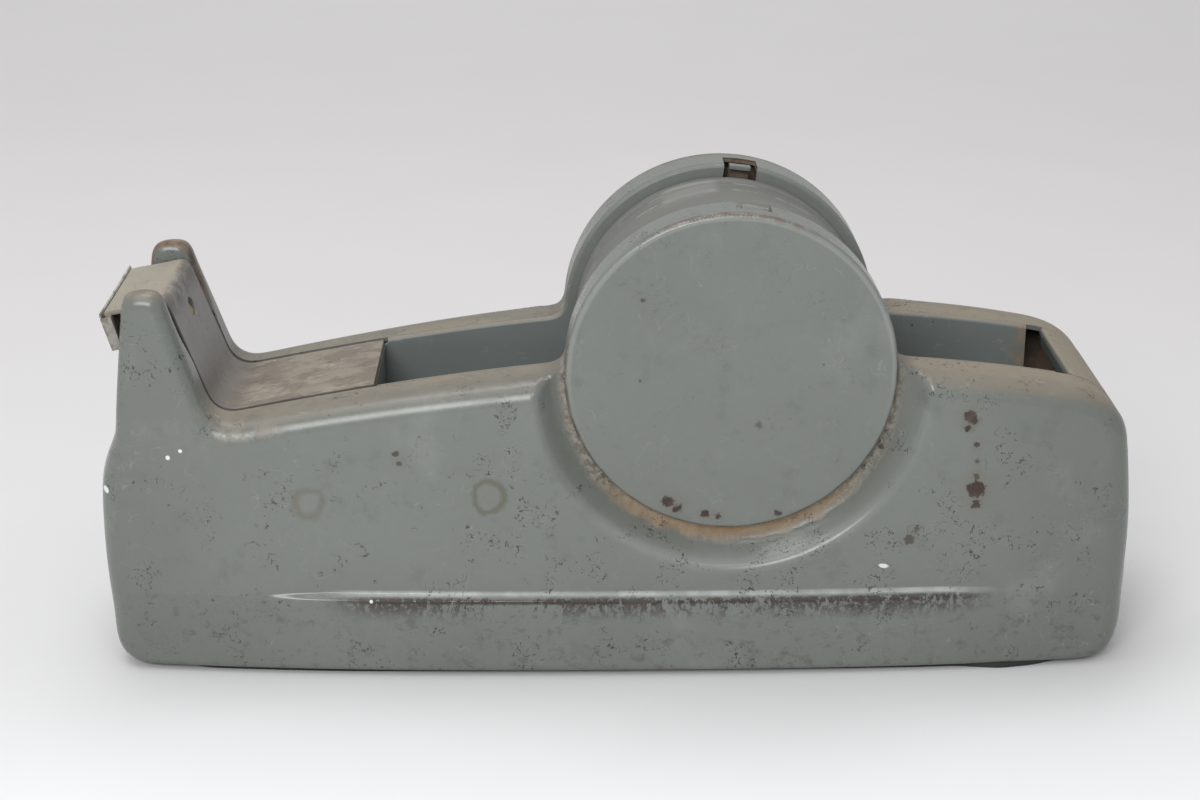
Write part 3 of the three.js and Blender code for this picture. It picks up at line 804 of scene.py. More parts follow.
def build_blade():
    """The cutter strip on the lip's face, folded round both ends of the lip."""
    nose = sizes("dispenser_nose")
    line = nose_line()
    lip = line[:int((nose.lip - 0.4) / NOSE_STEP)]
    drop = (lip[-1] - lip[0]) / np.linalg.norm(lip[-1] - lip[0])
    out = np.array([-drop[1], drop[0]])
    half = STRIP_HALF + nose.proud
    wrap = 2.2
    section = [(-half + 1.9, -wrap), (-half, -wrap), (-half, 0.5), (half, 0.5), (half, -wrap),
               (half - 1.9, -wrap)]
    low, high = lip[0] - drop * 0.3, lip[-1] + drop * 0.7
    places = [(spot + out * proud, y) for spot in (low, high) for y, proud in section]
    points = [(place[0], y, place[1]) for place, y in places]
    n = len(section)
    faces = [(k, k + 1, n + k + 1, n + k) for k in range(n - 1)]
    piece = new_piece("cutter_strip", points, faces)
    walled(piece, lambda at: Vector((-1, at.y * 0.02, 0)), BLADE_SHEET, 0.15)
    return piece, high, drop, out


class Tree:
    """A Geometry Nodes tree that sets one shape at each of some points."""

    def __init__(self, name, inputs):
        self.group = bpy.data.node_groups.new(name, "GeometryNodeTree")
        face = self.group.interface
        face.new_socket("Geometry", in_out="INPUT", socket_type="NodeSocketGeometry")
        for label, kind in inputs.items():
            face.new_socket(label, in_out="INPUT", socket_type="NodeSocket" + kind)
        face.new_socket("Geometry", in_out="OUTPUT", socket_type="NodeSocketGeometry")
        self.inputs = self.group.nodes.new("NodeGroupInput").outputs

    def add(self, kind, inputs, operation=None):
        """A node's first output, with the node's inputs set to values or joined to sockets."""
        node = self.group.nodes.new(kind)
        if operation:
            node.operation = operation
        for key, value in inputs.items():
            for source in value if isinstance(value, list) else [value]:
                if isinstance(source, bpy.types.NodeSocket):
                    self.group.links.new(source, node.inputs[key])
                else:
                    node.inputs[key].default_value = source
        return node.outputs[0]

    def placed(self, points, shape, finish, turn=(0, 0, 0)):
        """Ends the tree: the shape at every point, made real and given its finish."""
        copies = self.add("GeometryNodeInstanceOnPoints",
                          {"Points": points, "Instance": shape, "Rotation": turn})
        real = self.add("GeometryNodeRealizeInstances", {0: copies})
        coat = self.add("GeometryNodeSetMaterial", {"Geometry": real, "Material": finish})
        self.group.links.new(coat, self.group.nodes.new("NodeGroupOutput").inputs[0])
        return self.group


def teeth_tree(finish):
    """Pointed teeth along a line in Y."""
    tree = Tree("cutter_teeth", {"Pitch": "Float", "Height": "Float", "Thickness": "Float",
                                 "Teeth": "Int", "Start": "Vector", "Tilt": "Float"})
    size = tree.inputs
    step = tree.add("ShaderNodeCombineXYZ", {"Y": size["Pitch"]})
    row = tree.add("GeometryNodeMeshLine",
                   {"Count": size["Teeth"], "Start Location": size["Start"], "Offset": step})
    half = tree.add("ShaderNodeMath", {0: size["Pitch"], 1: 0.707}, "MULTIPLY")
    cone = tree.add("GeometryNodeMeshCone", {"Vertices": 4, "Radius Bottom": half,
                                             "Radius Top": 0.03 * MM, "Depth": size["Height"]})
    turn = tree.add("GeometryNodeTransform", {"Geometry": cone, "Rotation": (0, 0, math.pi / 4)})
    thin = tree.add("ShaderNodeMath", {0: size["Thickness"], 1: size["Pitch"]}, "DIVIDE")
    squash = tree.add("ShaderNodeCombineXYZ", {"X": thin, "Y": 1, "Z": 1})
    flat = tree.add("GeometryNodeTransform", {"Geometry": turn, "Scale": squash})
    lean = tree.add("ShaderNodeCombineXYZ", {"Y": size["Tilt"]})
    return tree.placed(row, flat, finish, lean)


def grown(name, tree, values):
    """A plain mesh object from a node tree and the values of its inputs."""
    mesh = bpy.data.meshes.new(name)
    piece = bpy.data.objects.new(name, mesh)
    bpy.context.scene.collection.objects.link(piece)
    maker = piece.modifiers.new("maker", "NODES")
    maker.node_group = tree
    for item in tree.interface.items_tree:
        if item.in_out == "INPUT" and item.name in values:
            maker[item.identifier] = values[item.name]
    apply_modifiers(piece)
    return piece


def build_teeth(high, drop, out, finish):
    nose = sizes("dispenser_nose")
    half = STRIP_HALF + nose.proud - 0.2
    pitch = 2 * half / nose.teeth
    spot = high + drop * (nose.tooth / 2 - 0.25) + out * 0.28
    start = ((spot[0] + AXLE_X) * MM, (-half + pitch / 2) * MM, spot[1] * MM)
    values = {"Pitch": pitch * MM, "Height": nose.tooth * MM, "Thickness": BLADE_SHEET * MM,
              "Teeth": nose.teeth, "Start": start, "Tilt": math.atan2(drop[0], drop[1])}
    return grown("cutter_teeth", teeth_tree(finish), values)


def build_strips():
    """The closing strips at the front and the rear, rolled over at their free edges."""
    front = foot_to_boss()
    front = even(front[(front[:, 1] > 9.5) & (front[:, 0] < -FRONT + 8.6) & (front[:, 1] < 66)], 1.2)
    rear = even(boss_to_foot(), 1.0)
    rear = rear[(rear[:, 0] > STRIP_FRONT_X) & (rear[:, 1] > 9.5)]
    x, z = rear[0]
    turned = curve_through((x + 0.4, z - 5.5), ((x - 0.2, z - 1.6),), ((x, z), tuple(rear[1])), step=0.6)
    rear = np.concatenate([turned, rear[2:]])
    pieces = []
    for name, line, away in (("front_closer", front, -1), ("rear_closer", rear, 1)):
        piece = sheet_along(name, line, STRIP_HALF, 13)
        pieces.append(walled(piece, lambda at, away=away: Vector((away, 0, 0.6)), 1.3, 0.25))
    return pieces


def build_bracket():
    """The bracket under the nose plate, bent to its platform and its slope."""
    line = nose_line()
    line = line[(line[:, 0] > CUTTER_CORNER[0] + 8) & (line[:, 0] < SLOPE_FOOT[0] - 3)
                & (line[:, 1] > SLOPE_FOOT[1] + 4)]
    along = np.gradient(line, axis=0)
    along /= np.linalg.norm(along, axis=1)[:, None]
    gap = sizes("dispenser_nose").sheet + 0.4
    under = line + gap * np.stack([along[:, 1], -along[:, 0]], axis=1)
    piece = sheet_along("nose_support", under, STRIP_HALF - 0.3, 5)
    return walled(piece, lambda at: Vector((0.3, 0, 1)), 1.8, 0.2)


# ---- hub ------------------------------------------------------------------------------------------


def build_sleeve():
    """The drum: a rolled sleeve with soft edges and a shallow step near each end."""
    r, h = HUB_R, HUB_HALF
    side = [(r - 1.5, -h + 0.3), (r - 1.3, -h), (r - 0.6, -h), (r - 0.15, -h + 0.3), (r, -h + 0.9),
            (r, -h + 4.0), (r - 0.22, -h + 4.5), (r - 0.22, -h + 5.2), (r - 0.05, -h + 5.8)]
    other = [(radius, -y) for radius, y in reversed(side)]
    return lathe_y("hub_drum", side + other, 192)


def build_tab():
    """The hanger on the right: a strap down to the axle and a finger tab turned in at the rim."""
    width, sheet = 5.6, 1.2
    top = BOSS_R - 0.6
    y_out, y_in = TAB_HIGH[1], TAB_LOW[1]
    eye = 4.1
    along = Vector((math.sin(LIFT_TILT), 0, math.cos(LIFT_TILT)))
    across = Vector((along.z, 0, -along.x))
    axle = Vector((0, 0, AXLE_Z))
    points, faces = [], []
    bend = [(top - sheet - 1.2, 0.0), (top - sheet - 0.3, 0.25), (top - 0.5, 0.9)]
    spine = [(eye, y_out)] + [(h, y_out - 0.2 * b) for h, b in bend] + [
        (top - 0.1, y_out - 1.0), (top, y_out - 1.8), (top, y_in)]
    columns = np.linspace(-width / 2, width / 2, 5)
    for h, y in spine:
        for c in columns:
            points.append(axle + along * h + across * float(c) + Vector((0, y, 0)))
    n = len(columns)
    for i in range(len(spine) - 1):
        for k in range(n - 1):
            faces.append((i * n + k, i * n + k + 1, (i + 1) * n + k + 1, (i + 1) * n + k))
    piece = new_piece("right_hanger_strap", [tuple(p) for p in points], faces, 60)
    walled(piece, lambda at: Vector((0, 1, 0)) + along * 0.5, sheet, 0.25, 3)
    hole = AXLE_HIGH[2] - AXLE_Z + 0.3
    section = [(hole, y_out - sheet), (hole, y_out), (eye - 0.15, y_out), (eye, y_out - 0.15),
               (eye, y_out - sheet + 0.15), (eye - 0.15, y_out - sheet)]
    join(piece, lathe_y("eye", section, 48))
    smooth(piece, 40)
    return piece


def join(piece, other):
    """Adds another piece's mesh to a piece, and deletes the other."""
    work = bmesh.new()
    work.from_mesh(piece.data)
    work.from_mesh(other.data)
    work.to_mesh(piece.data)
    work.free()
    bpy.data.objects.remove(other)


# ---- foot -----------------------------------------------------------------------------------------


def build_pad():
    """The dull pad under the base, its edge ragged, and squeezed out at the rear on the left."""
    low, high = PAD_LOW, PAD_HIGH
    count = 240
    rng = np.random.default_rng(11)
    ragged = eased(np.stack([np.arange(count), rng.normal(0, 0.35, count)], axis=1), 2)[:, 1]
    middle = (low + high) / 2 - np.array([AXLE_X, 0, 0])
    half = (high - low) / 2
    rings = []
    for z, inset in ((low[2], 0.3), (low[2] + 0.3, 0.0), (high[2] - 0.2, 0.0), (high[2], 0.25)):
        ring = []
        for k in range(count):
            a = 2 * math.pi * k / count
            c, s = math.cos(a), math.sin(a)
            x = (half[0] - inset) * math.copysign(abs(c) ** 0.28, c)
            y = (half[1] - 0.4 - inset + ragged[k] * 0.5) * math.copysign(abs(s) ** 0.5, s)
            squeezed = 2.3 * float(smooth_step(middle[0] + x, 58, 72)) * (y < 0)
            limit = flank(np.array([middle[0] + x]), np.array([2.0]))[0] - 2.4 + squeezed
            y -= squeezed
            ring.append((middle[0] + x, float(np.clip(y, -limit, limit)), z))
        rings.append(ring)
    return capped("foot_pad", rings, 50)


def screw_tree(finish):
    """Slotted screws, heads down, one at each corner of a rectangle."""
    sizes_of = ("Length", "Width", "Head radius", "Head height", "Shank radius", "Shank length")
    tree = Tree("base_screws", {**{name: "Float" for name in sizes_of}, "Middle": "Vector"})
    size = tree.inputs
    corners = tree.add("GeometryNodeMeshGrid", {"Vertices X": 2, "Vertices Y": 2,
                                                "Size X": size["Length"], "Size Y": size["Width"]})
    move = tree.add("GeometryNodeTransform", {"Geometry": corners, "Translation": size["Middle"]})
    head = tree.add("GeometryNodeMeshCylinder", {"Vertices": 28, "Radius": size["Head radius"],
                                                 "Depth": size["Head height"]})
    slot = tree.add("GeometryNodeMeshCube", {"Size": (0.02, 0.0009, 0.0012)})
    lower = tree.add("GeometryNodeTransform", {"Geometry": slot, "Translation": (0, 0, -0.0007),
                                               "Rotation": (0, 0, 0.6)})
    carve = tree.add("GeometryNodeMeshBoolean", {"Mesh 1": head, "Mesh 2": lower}, "DIFFERENCE")
    shank = tree.add("GeometryNodeMeshCylinder", {"Vertices": 20, "Radius": size["Shank radius"],
                                                  "Depth": size["Shank length"]})
    half = tree.add("ShaderNodeMath", {0: size["Shank length"], 1: 0.5, 2: 0.0007}, "MULTIPLY_ADD")
    up = tree.add("ShaderNodeCombineXYZ", {"Z": half})
    raised = tree.add("GeometryNodeTransform", {"Geometry": shank, "Translation": up})
    both = tree.add("GeometryNodeJoinGeometry", {0: [carve, raised]})
    return tree.placed(move, both, finish)


SCREW_NODES = [f"base_screw_{i}" for i in (1, 2, 3, 4)]


def build_screws(finish):
    boxes = [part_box(node) for node in SCREW_NODES]
    centres = [(low + high) / 2 for low, high in boxes]
    low, high = boxes[0]
    head_height = 1.3 * MM
    middle = sum(centres, Vector()) / 4
    middle.z = low.z + head_height / 2
    values = {
        "Length": abs(centres[0].x - centres[2].x),
        "Width": abs(centres[0].y - centres[1].y),
        "Head radius": (high.x - low.x) / 2,
        "Head height": head_height,
        "Shank radius": 2 * MM,
        "Shank length": high.z - low.z - head_height - 0.2 * MM,
        "Middle": tuple(middle),
    }
    return grown("base_screws", screw_tree(finish), values)


# ---- finishes -------------------------------------------------------------------------------------


class Wire:
    """A shader value that can stand in sums and products."""

    def __init__(self, net, socket):
        self.net = net
        self.socket = socket

    def __add__(self, other):
        return self.net.math("ADD", self, other)

    def __sub__(self, other):
        return self.net.math("SUBTRACT", self, other)

    def __rsub__(self, other):
        return self.net.math("SUBTRACT", other, self)

    def __mul__(self, other):
        return self.net.math("MULTIPLY", self, other)

    __radd__ = __add__
    __rmul__ = __mul__

    def __truediv__(self, other):
        return self.net.math("DIVIDE", self, other)

    def size(self):
        return self.net.math("ABSOLUTE", self)


class Net:
    """A procedural finish: its places are millimetres from the axle, at the desk's height."""

    def __init__(self, name):
        self.material = bpy.data.materials.new(name)
        self.material.use_nodes = True
        self.nodes = self.material.node_tree.nodes
        self.links = self.material.node_tree.links
        self.shader = self.nodes["Principled BSDF"]
        where = self.nodes.new("ShaderNodeTexCoord")
        scale = self.nodes.new("ShaderNodeMapping")
        scale.inputs["Scale"].default_value = (1 / MM, 1 / MM, 1 / MM)
        scale.inputs["Location"].default_value = (-AXLE_X, 0, 0)
        self.links.new(where.outputs["Object"], scale.inputs["Vector"])
        self.place = scale.outputs["Vector"]
        split = self.nodes.new("ShaderNodeSeparateXYZ")
        self.links.new(self.place, split.inputs[0])
        self.x, self.y, self.z = (Wire(self, split.outputs[k]) for k in range(3))
        shape = self.nodes.new("ShaderNodeNewGeometry")
        facing = self.nodes.new("ShaderNodeSeparateXYZ")
        self.links.new(shape.outputs["Normal"], facing.inputs[0])
        self.up = Wire(self, facing.outputs[2])
        self.side = Wire(self, facing.outputs[1])
        self.colour = None

    def put(self, value, socket):
        if isinstance(value, Wire):
            self.links.new(value.socket, socket)
        elif hasattr(value, "__len__"):
            alpha = (1,) if len(socket.default_value) == 4 else ()
            socket.default_value = (*tuple(value)[:3], *alpha)
        else:
            socket.default_value = value

    def math(self, kind, *values):
        node = self.nodes.new("ShaderNodeMath")
        node.operation = kind
        for k, value in enumerate(values):
            self.put(value, node.inputs[k])
        return Wire(self, node.outputs[0])

    def step(self, value, low, high):
        """0 below low and 1 above high, eased; the other way when low is the larger."""
        node = self.nodes.new("ShaderNodeMapRange")
        node.interpolation_type = "SMOOTHSTEP"
        self.put(value, node.inputs["Value"])
        flip = not isinstance(low, Wire) and not isinstance(high, Wire) and low > high
        self.put(high if flip else low, node.inputs["From Min"])
        self.put(low if flip else high, node.inputs["From Max"])
        node.inputs["To Min"].default_value = 1.0 if flip else 0.0
        node.inputs["To Max"].default_value = 0.0 if flip else 1.0
        return Wire(self, node.outputs["Result"])

    def between(self, value, low, high, soft):
        return self.step(value, low - soft, low + soft) * self.step(value, high + soft, high - soft)

    def moved(self, stretch, seed):
        node = self.nodes.new("ShaderNodeMapping")
        node.inputs["Scale"].default_value = stretch
        node.inputs["Location"].default_value = (seed * 17.3, seed * 7.1, seed * 3.7)
        self.links.new(self.place, node.inputs["Vector"])
        return node.outputs["Vector"]

    def noise(self, feature, detail=3.0, rough=0.55, stretch=(1, 1, 1), seed=0, vector=None):
        node = self.nodes.new("ShaderNodeTexNoise")
        node.inputs["Scale"].default_value = 1 / feature
        node.inputs["Detail"].default_value = detail
        node.inputs["Roughness"].default_value = rough
        self.links.new(vector or self.moved(stretch, seed), node.inputs["Vector"])
        return Wire(self, node.outputs["Fac"])

    def specks(self, spacing, radius, seed=0, share=0.5):
        """Small round dots, each in its own cell, on a share of the cells."""
        node = self.nodes.new("ShaderNodeTexVoronoi")
        node.inputs["Scale"].default_value = 1 / spacing
        self.links.new(self.moved((1, 1, 1), seed), node.inputs["Vector"])
        split = self.nodes.new("ShaderNodeSeparateColor")
        self.links.new(node.outputs["Color"], split.inputs[0])
        chance = Wire(self, split.outputs[0])
        grow = Wire(self, split.outputs[1])
        reach = (grow * 0.8 + 0.3) * (radius / spacing)
        dots = self.step(Wire(self, node.outputs["Distance"]) - reach, 0.02, -0.02)
        return dots * self.step(chance, share + 0.01, share - 0.01)

    def squiggles(self, feature, seed, width=0.02, share=0.56, cluster=4.0):
        """Clusters of fine wandering hairlines, each broken into short bits."""
        lines = self.noise(feature, 2.0, 0.5, (1, 1, 1), seed)
        patches = self.noise(feature * cluster, 3.0, 0.6, (1, 1, 1), seed + 5)
        bits = self.noise(feature * 0.45, 1.0, 0.5, (1, 1, 1), seed + 9)
        hair = self.step((lines - 0.5).size(), width, width * 0.3)
        return hair * self.step(patches, share, share + 0.06) * self.step(bits, 0.44, 0.54)

    def mix(self, share, low, high, kind="RGBA"):
        node = self.nodes.new("ShaderNodeMix")
        node.data_type = kind
        self.put(share, node.inputs["Factor"])
        self.put(low, node.inputs["A"])
        self.put(high, node.inputs["B"])
        return Wire(self, node.outputs["Result"])

    def lay(self, share, over):
        """Lays a colour over what the finish has so far."""
        self.colour = self.mix(share, self.colour, over)

    def shade(self, tone, colour):
        """A colour made lighter or darker by a factor."""
        node = self.nodes.new("ShaderNodeVectorMath")
        node.operation = "SCALE"
        if isinstance(colour, Wire):
            self.links.new(colour.socket, node.inputs[0])
        else:
            node.inputs[0].default_value = tuple(colour)[:3]
        self.put(tone, node.inputs["Scale"])
        return Wire(self, node.outputs["Vector"])

    def bump(self, height, distance, strength=1.0, under=None):
        node = self.nodes.new("ShaderNodeBump")
        node.inputs["Strength"].default_value = strength
        node.inputs["Distance"].default_value = distance * MM
        self.put(height, node.inputs["Height"])
        if under is not None:
            self.links.new(under.socket, node.inputs["Normal"])
        return Wire(self, node.outputs["Normal"])

    def finish(self, roughness, normal=None, metallic=0.0):
        self.put(self.colour, self.shader.inputs["Base Color"])
        self.put(roughness, self.shader.inputs["Roughness"])
        self.put(metallic, self.shader.inputs["Metallic"])
        if normal is not None:
            self.links.new(normal.socket, self.shader.inputs["Normal"])
        return self.material


# Marks on the left flank: place from the axle and above the desk, radius, darkness.
LEFT_SPOTS = [
    (58.6, 69.4, 1.5, 1.0), (59.6, 68.2, 0.9, 1.0), (58.2, 66.2, 0.8, 0.9), (60.6, 62.0, 0.7, 0.8),
    (61.0, 57.4, 0.6, 0.6), (61.2, 53.4, 0.8, 0.8), (61.3, 50.0, 2.3, 1.0), (61.5, 45.8, 1.1, 0.8),
    (-15.4, 45.3, 1.5, 1.0), (-12.8, 43.6, 1.1, 1.0), (-6.0, 42.0, 1.0, 0.9), (-2.5, 41.4, 0.8, 0.8),
    (12.4, 42.2, 0.9, 0.8), (38.0, 59.0, 0.7, 0.8), (7.0, 66.0, 0.9, 0.4), (45.0, 36.5, 1.3, 0.6),
    (47.0, 39.5, 0.8, 0.6), (-83.0, 59.5, 0.8, 0.7), (-82.0, 57.0, 0.6, 0.6), (-22.0, 98.5, 0.6, 0.6),
]


# Flecks of pale paint on the left flank: place and radius.
PALE_FLECKS = [(-139.8, 57.4, 0.55), (-136.6, 59.2, 0.45), (-156.5, 47.5, 0.8), (-90.0, 21.0, 0.4)]


def radial(net):
    """Distance past the boss's rim, and how far round from the top (1) to the bottom (-1)."""
    rise = net.z - AXLE_Z
    radius = net.math("SQRT", net.x * net.x + rise * rise)
    return radius - BOSS_R, rise / (radius + 0.01)


def near_place(net, x, z):
    """Distance from a place in side view."""
    dx, dz = net.x - x, net.z - z
    return net.math("SQRT", dx * dx + dz * dz)


def shell_finish(name, spots):
    """Old grey-green enamel: painted shade and dirt on the flange, rust round the boss and along the ledge,
    painted shade in the groove, and painted highlights on the groove's edge, the boss's rim and the ledge.
    """
    paint = sizes("dispenser_paint")
    net = Net(name)
    out, turn = radial(net)
    cloud = net.noise(38, 3, 0.5, seed=1)
    fine = net.noise(2.2, 5, 0.6, seed=2)
    mid = net.noise(9, 4, 0.6, seed=3)
    tone = 0.87 + cloud * 0.22 + (fine - 0.5) * 0.10
    net.colour = net.shade(tone, paint.enamel)
    rear = net.step(net.x, 40, 95)
    low = net.step(net.z, 40, 8)
    front = net.step(net.x, -104, -150)
    net.colour = net.shade(1 - rear * 0.13 - low * 0.07 - front * 0.12, net.colour)
    worn = net.step(mid + (fine - 0.5) * 0.4, 0.56, 0.72)
    net.lay(worn * 0.26, tuple(c * 0.55 for c in paint.enamel))

    # Pale, broad marks where the enamel is rubbed.
    rubbed = net.noise(22, 5, 0.62, (1, 1, 0.8), 9)
    net.lay(net.step(rubbed, 0.56, 0.72) * 0.14, (0.32, 0.335, 0.32))

    # The flange and whatever faces up: painted shade darkens it, and tan dirt lies on it.
    flange = net.step(net.up, 0.35, 0.85) * net.step(net.z, 58, 64) * net.step(out, 0.2, 1.5)
    patchy = net.step(mid * 0.6 + fine * 0.5, 0.45, 0.64)
    # Painted shade: surfaces that face up are darkened to offset the light they catch.
    net.lay(flange, net.shade(0.68, net.colour))
    inner = net.step(net.y.size(), 32, 20)
    nearer = net.step(net.x, 40, 48) * 0.35
    horn_foot = net.between(net.x, -152, -112, 7) * net.between(net.z, 58, 70, 3)
    horn_foot = horn_foot * net.step(net.up, 0.06, 0.42)
    dirt = flange * (0.24 + inner * (0.30 + patchy * 0.40) + nearer)
    dirt = net.math("MAXIMUM", dirt, horn_foot * patchy * 0.75)
    net.lay(dirt, paint.grime)
    pale_dirt = net.noise(3, 5, 0.7, (0.4, 1, 1), 4)
    net.lay(flange * net.step(pale_dirt, 0.60, 0.68) * 0.4, (0.30, 0.275, 0.235))
    net.lay(flange * net.step(pale_dirt, 0.38, 0.30) * 0.55, (0.085, 0.075, 0.062))

    # Dirt in the corner round the boss: pale and thin up the sides, orange and thick underneath.
    ragged = net.noise(6, 4, 0.62, seed=6)
    grit = net.noise(1.3, 4, 0.7, seed=8)
    width = net.step(turn, 0.45, -0.95) * 2.7 + 0.6 + (ragged - 0.5) * 3.0
    corner = net.step(out, -0.5, 0.1) * net.step(out - width + (grit - 0.5) * 1.6, 1.3, -0.9)
    under = net.step(turn, 0.42, -0.1)
    deep = net.step(turn, -0.55, -0.95)
    side_dirt = net.mix(net.step(grit, 0.40, 0.62), (0.15, 0.128, 0.10), (0.34, 0.315, 0.265))
    low_dirt = net.mix(net.step(ragged, 0.40, 0.62), (0.31, 0.19, 0.09), (0.38, 0.275, 0.165))
    ring_dirt = net.mix(deep * 0.9, side_dirt, low_dirt)
    # Darker below the boss, out across the groove.
    darker_below_boss = net.step(out, -0.2, 0.4) * net.step(out - width, 5.0, 0.0) * under
    net.lay(darker_below_boss * 0.38, (0.12, 0.118, 0.095))
    net.lay(corner * under * 0.92, ring_dirt)
    crumbs = corner * under * net.step(net.noise(1.9, 4, 0.7, seed=10), 0.60, 0.68)
    net.lay(crumbs * 0.75, (0.095, 0.06, 0.038))
    seat = net.between(out, -0.45, 0.2, 0.22) * under
    net.lay(seat * net.step(ragged, 0.36, 0.56) * 0.8, (0.07, 0.05, 0.04))

    # Painted shade in the groove below the boss, and a painted highlight along the groove's lower outer
    # edge.
    groove_shade = net.between(out, 0.8, 4.5, 2.0) * under
    net.lay(groove_shade * 0.35, (0.085, 0.086, 0.072))
    groove_edge_highlight = net.between(out, 7.0, 9.2, 1.2) * net.step(turn, -0.45, -0.9)
    net.lay(groove_edge_highlight * 0.30, (0.34, 0.36, 0.345))

    # The rim's top edge, bare and red-brown.
    rim = net.step(out.size(), 1.5, 0.4) * net.step(turn, 0.78, 0.97) * net.step(net.y.size(), 26.6, 28.4)
    rim_bits = net.step(net.noise(3.0, 5, 0.65, (1, 2, 1), 12), 0.42, 0.56)
    net.lay(rim * rim_bits * 0.8, (0.115, 0.07, 0.05))
    # Painted highlight: a pale line along the rounded edge of the boss's face, strongest on its upper half.
    edge = net.between(out, -1.5, -0.3, 0.35) * net.step(net.y.size(), 28.8, 29.4)
    net.lay(edge * net.step(turn, -0.6, 0.6) * 0.35, (0.33, 0.35, 0.34))

    # The ledge: a painted highlight along its top, bare and brown under it.
    along = net.between(net.x, -96, 62, 9)
    ledge = sizes("dispenser_shell").ledge_height
    ledge_highlight = along * net.between(net.z, ledge + 0.1, ledge + 1.3, 0.35)
    net.lay(ledge_highlight * (0.30 + net.step(mid, 0.4, 0.6) * 0.25), (0.50, 0.52, 0.51))
    runs = net.noise(1.5, 5, 0.75, (1.0, 1, 0.45), 13)
    heavy = net.noise(26, 3, 0.55, (1, 1, 0.2), 14)
    front_share = net.between(net.x, -92, -28, 14)
    below = net.step(net.z, ledge - 7.5, ledge - 1.2) * net.step(net.z, ledge + 0.3, ledge - 0.5)
    wear = along * below * net.step(runs + (heavy - 0.5) * 0.6 + front_share * 0.06, 0.515, 0.57)
    net.lay(wear * net.step(grit, 0.36, 0.5) * 0.95, (0.045, 0.034, 0.029))
    thin = along * net.between(net.z, ledge - 1.5, ledge - 0.35, 0.35)
    net.lay(thin * net.step(runs + front_share * 0.1, 0.42, 0.52) * 0.95, (0.036, 0.025, 0.021))
    plinth = net.step(net.z, ledge + 1, ledge - 2)
    smears = net.noise(3.4, 6, 0.75, (0.8, 1, 1), 15)
    net.lay(plinth * net.step(smears, 0.52, 0.66) * 0.5, (0.075, 0.064, 0.056))

    # Specks and hairlines everywhere, most of them on the plinth and beside the boss.
    busy = net.step(out.size(), 34, 14) * net.step(out, 0.5, 3)
    dark = net.specks(6.5, 0.40, 16, share=0.35)
    tiny = net.specks(2.6, 0.17, 17, share=0.30)
    pale = net.specks(21, 0.38, 18, share=0.2)
    net.lay(dark * 0.8, (0.05, 0.042, 0.036))
    net.lay(tiny * (0.45 + plinth * 0.3), (0.065, 0.056, 0.05))
    net.lay(pale * 0.75, (0.58, 0.59, 0.57))
    hairs = net.squiggles(1.4, 24, 0.034, 0.58, 8.0) * (0.35 + busy)
    hairs = net.squiggles(2.3, 20, 0.026, 0.55, 4.5) + hairs
    hairs = hairs * (1 - net.step(out, 0, -1) * 0.75)
    net.lay(net.math("MINIMUM", hairs, 1.0) * 0.92, (0.03, 0.027, 0.024))
    net.lay(net.squiggles(9, 28, 0.005, 0.5, 2.0) * 0.2, (0.36, 0.375, 0.36))

    jagged = (net.noise(1.3, 5, 0.75, seed=30) - 0.5) * 4.0
    for x, z, radius, darkness in spots:
        gap = near_place(net, x, z) + jagged * min(1.0, radius)
        spot = net.step(gap, radius + 0.25, radius - 0.25)
        halo = net.step(gap, radius * 2.6 + 1.2, radius)
        net.lay(halo * 0.28 * darkness, (0.13, 0.115, 0.085))
        net.lay(spot * min(1.0, darkness + 0.1), paint.dark_rust)
    if spots:
        # Two dried rings, flecks of pale paint and one pale smear.
        ring = near_place(net, -60.0, 48.6) + (net.noise(4, 3, 0.6, seed=33) - 0.5) * 3.6
        net.lay(net.between(ring, 3.2, 4.8, 0.7) * 0.75, (0.095, 0.09, 0.06))
        net.lay(net.step(ring, 3.4, 2.0) * 0.4, (0.155, 0.158, 0.125))
        second = near_place(net, -105.0, 46.5) + (net.noise(5, 3, 0.6, seed=34) - 0.5) * 5
        net.lay(net.between(second, 2.6, 4.4, 0.9) * 0.45, (0.10, 0.09, 0.06))
        for x, z, radius in PALE_FLECKS:
            fleck = near_place(net, x, z) + jagged * 0.12
            net.lay(net.step(fleck, radius + 0.15, radius - 0.1), (0.70, 0.71, 0.70))
        along_x, along_z = (net.x - 39.0) * 0.45, net.z - 29.4 + (net.x - 39.0) * 0.15
        smear = net.math("SQRT", along_x * along_x + along_z * along_z) + jagged * 0.15
        net.lay(net.step(smear, 0.75, 0.45), (0.66, 0.67, 0.66))

    # Bare, browned steel inside the pressing.
    inside = net.step(net.side * net.math("SIGN", net.y), -0.05, -0.4) * net.step(net.y.size(), 18.9, 19.6)
    bare = net.mix(net.step(ragged, 0.4, 0.62), (0.075, 0.055, 0.042), (0.17, 0.115, 0.075))
    net.lay(inside * 0.9, bare)

    rough = 0.24 + (fine - 0.5) * 0.14 + inside * 0.4 + worn * 0.06 + dirt * 0.3
    rough = rough + corner * under * 0.4 + wear * 0.3
    swell = net.bump(net.noise(30, 2, 0.5, seed=40), 0.8, 0.35)
    peel = net.bump(net.noise(1.1, 3, 0.6, seed=41), 0.035, 0.5, swell)
    raised = net.bump(corner * (ragged + grit) + wear * runs + dirt * fine, 0.22, 0.7, peel)
    return net.finish(rough, raised)


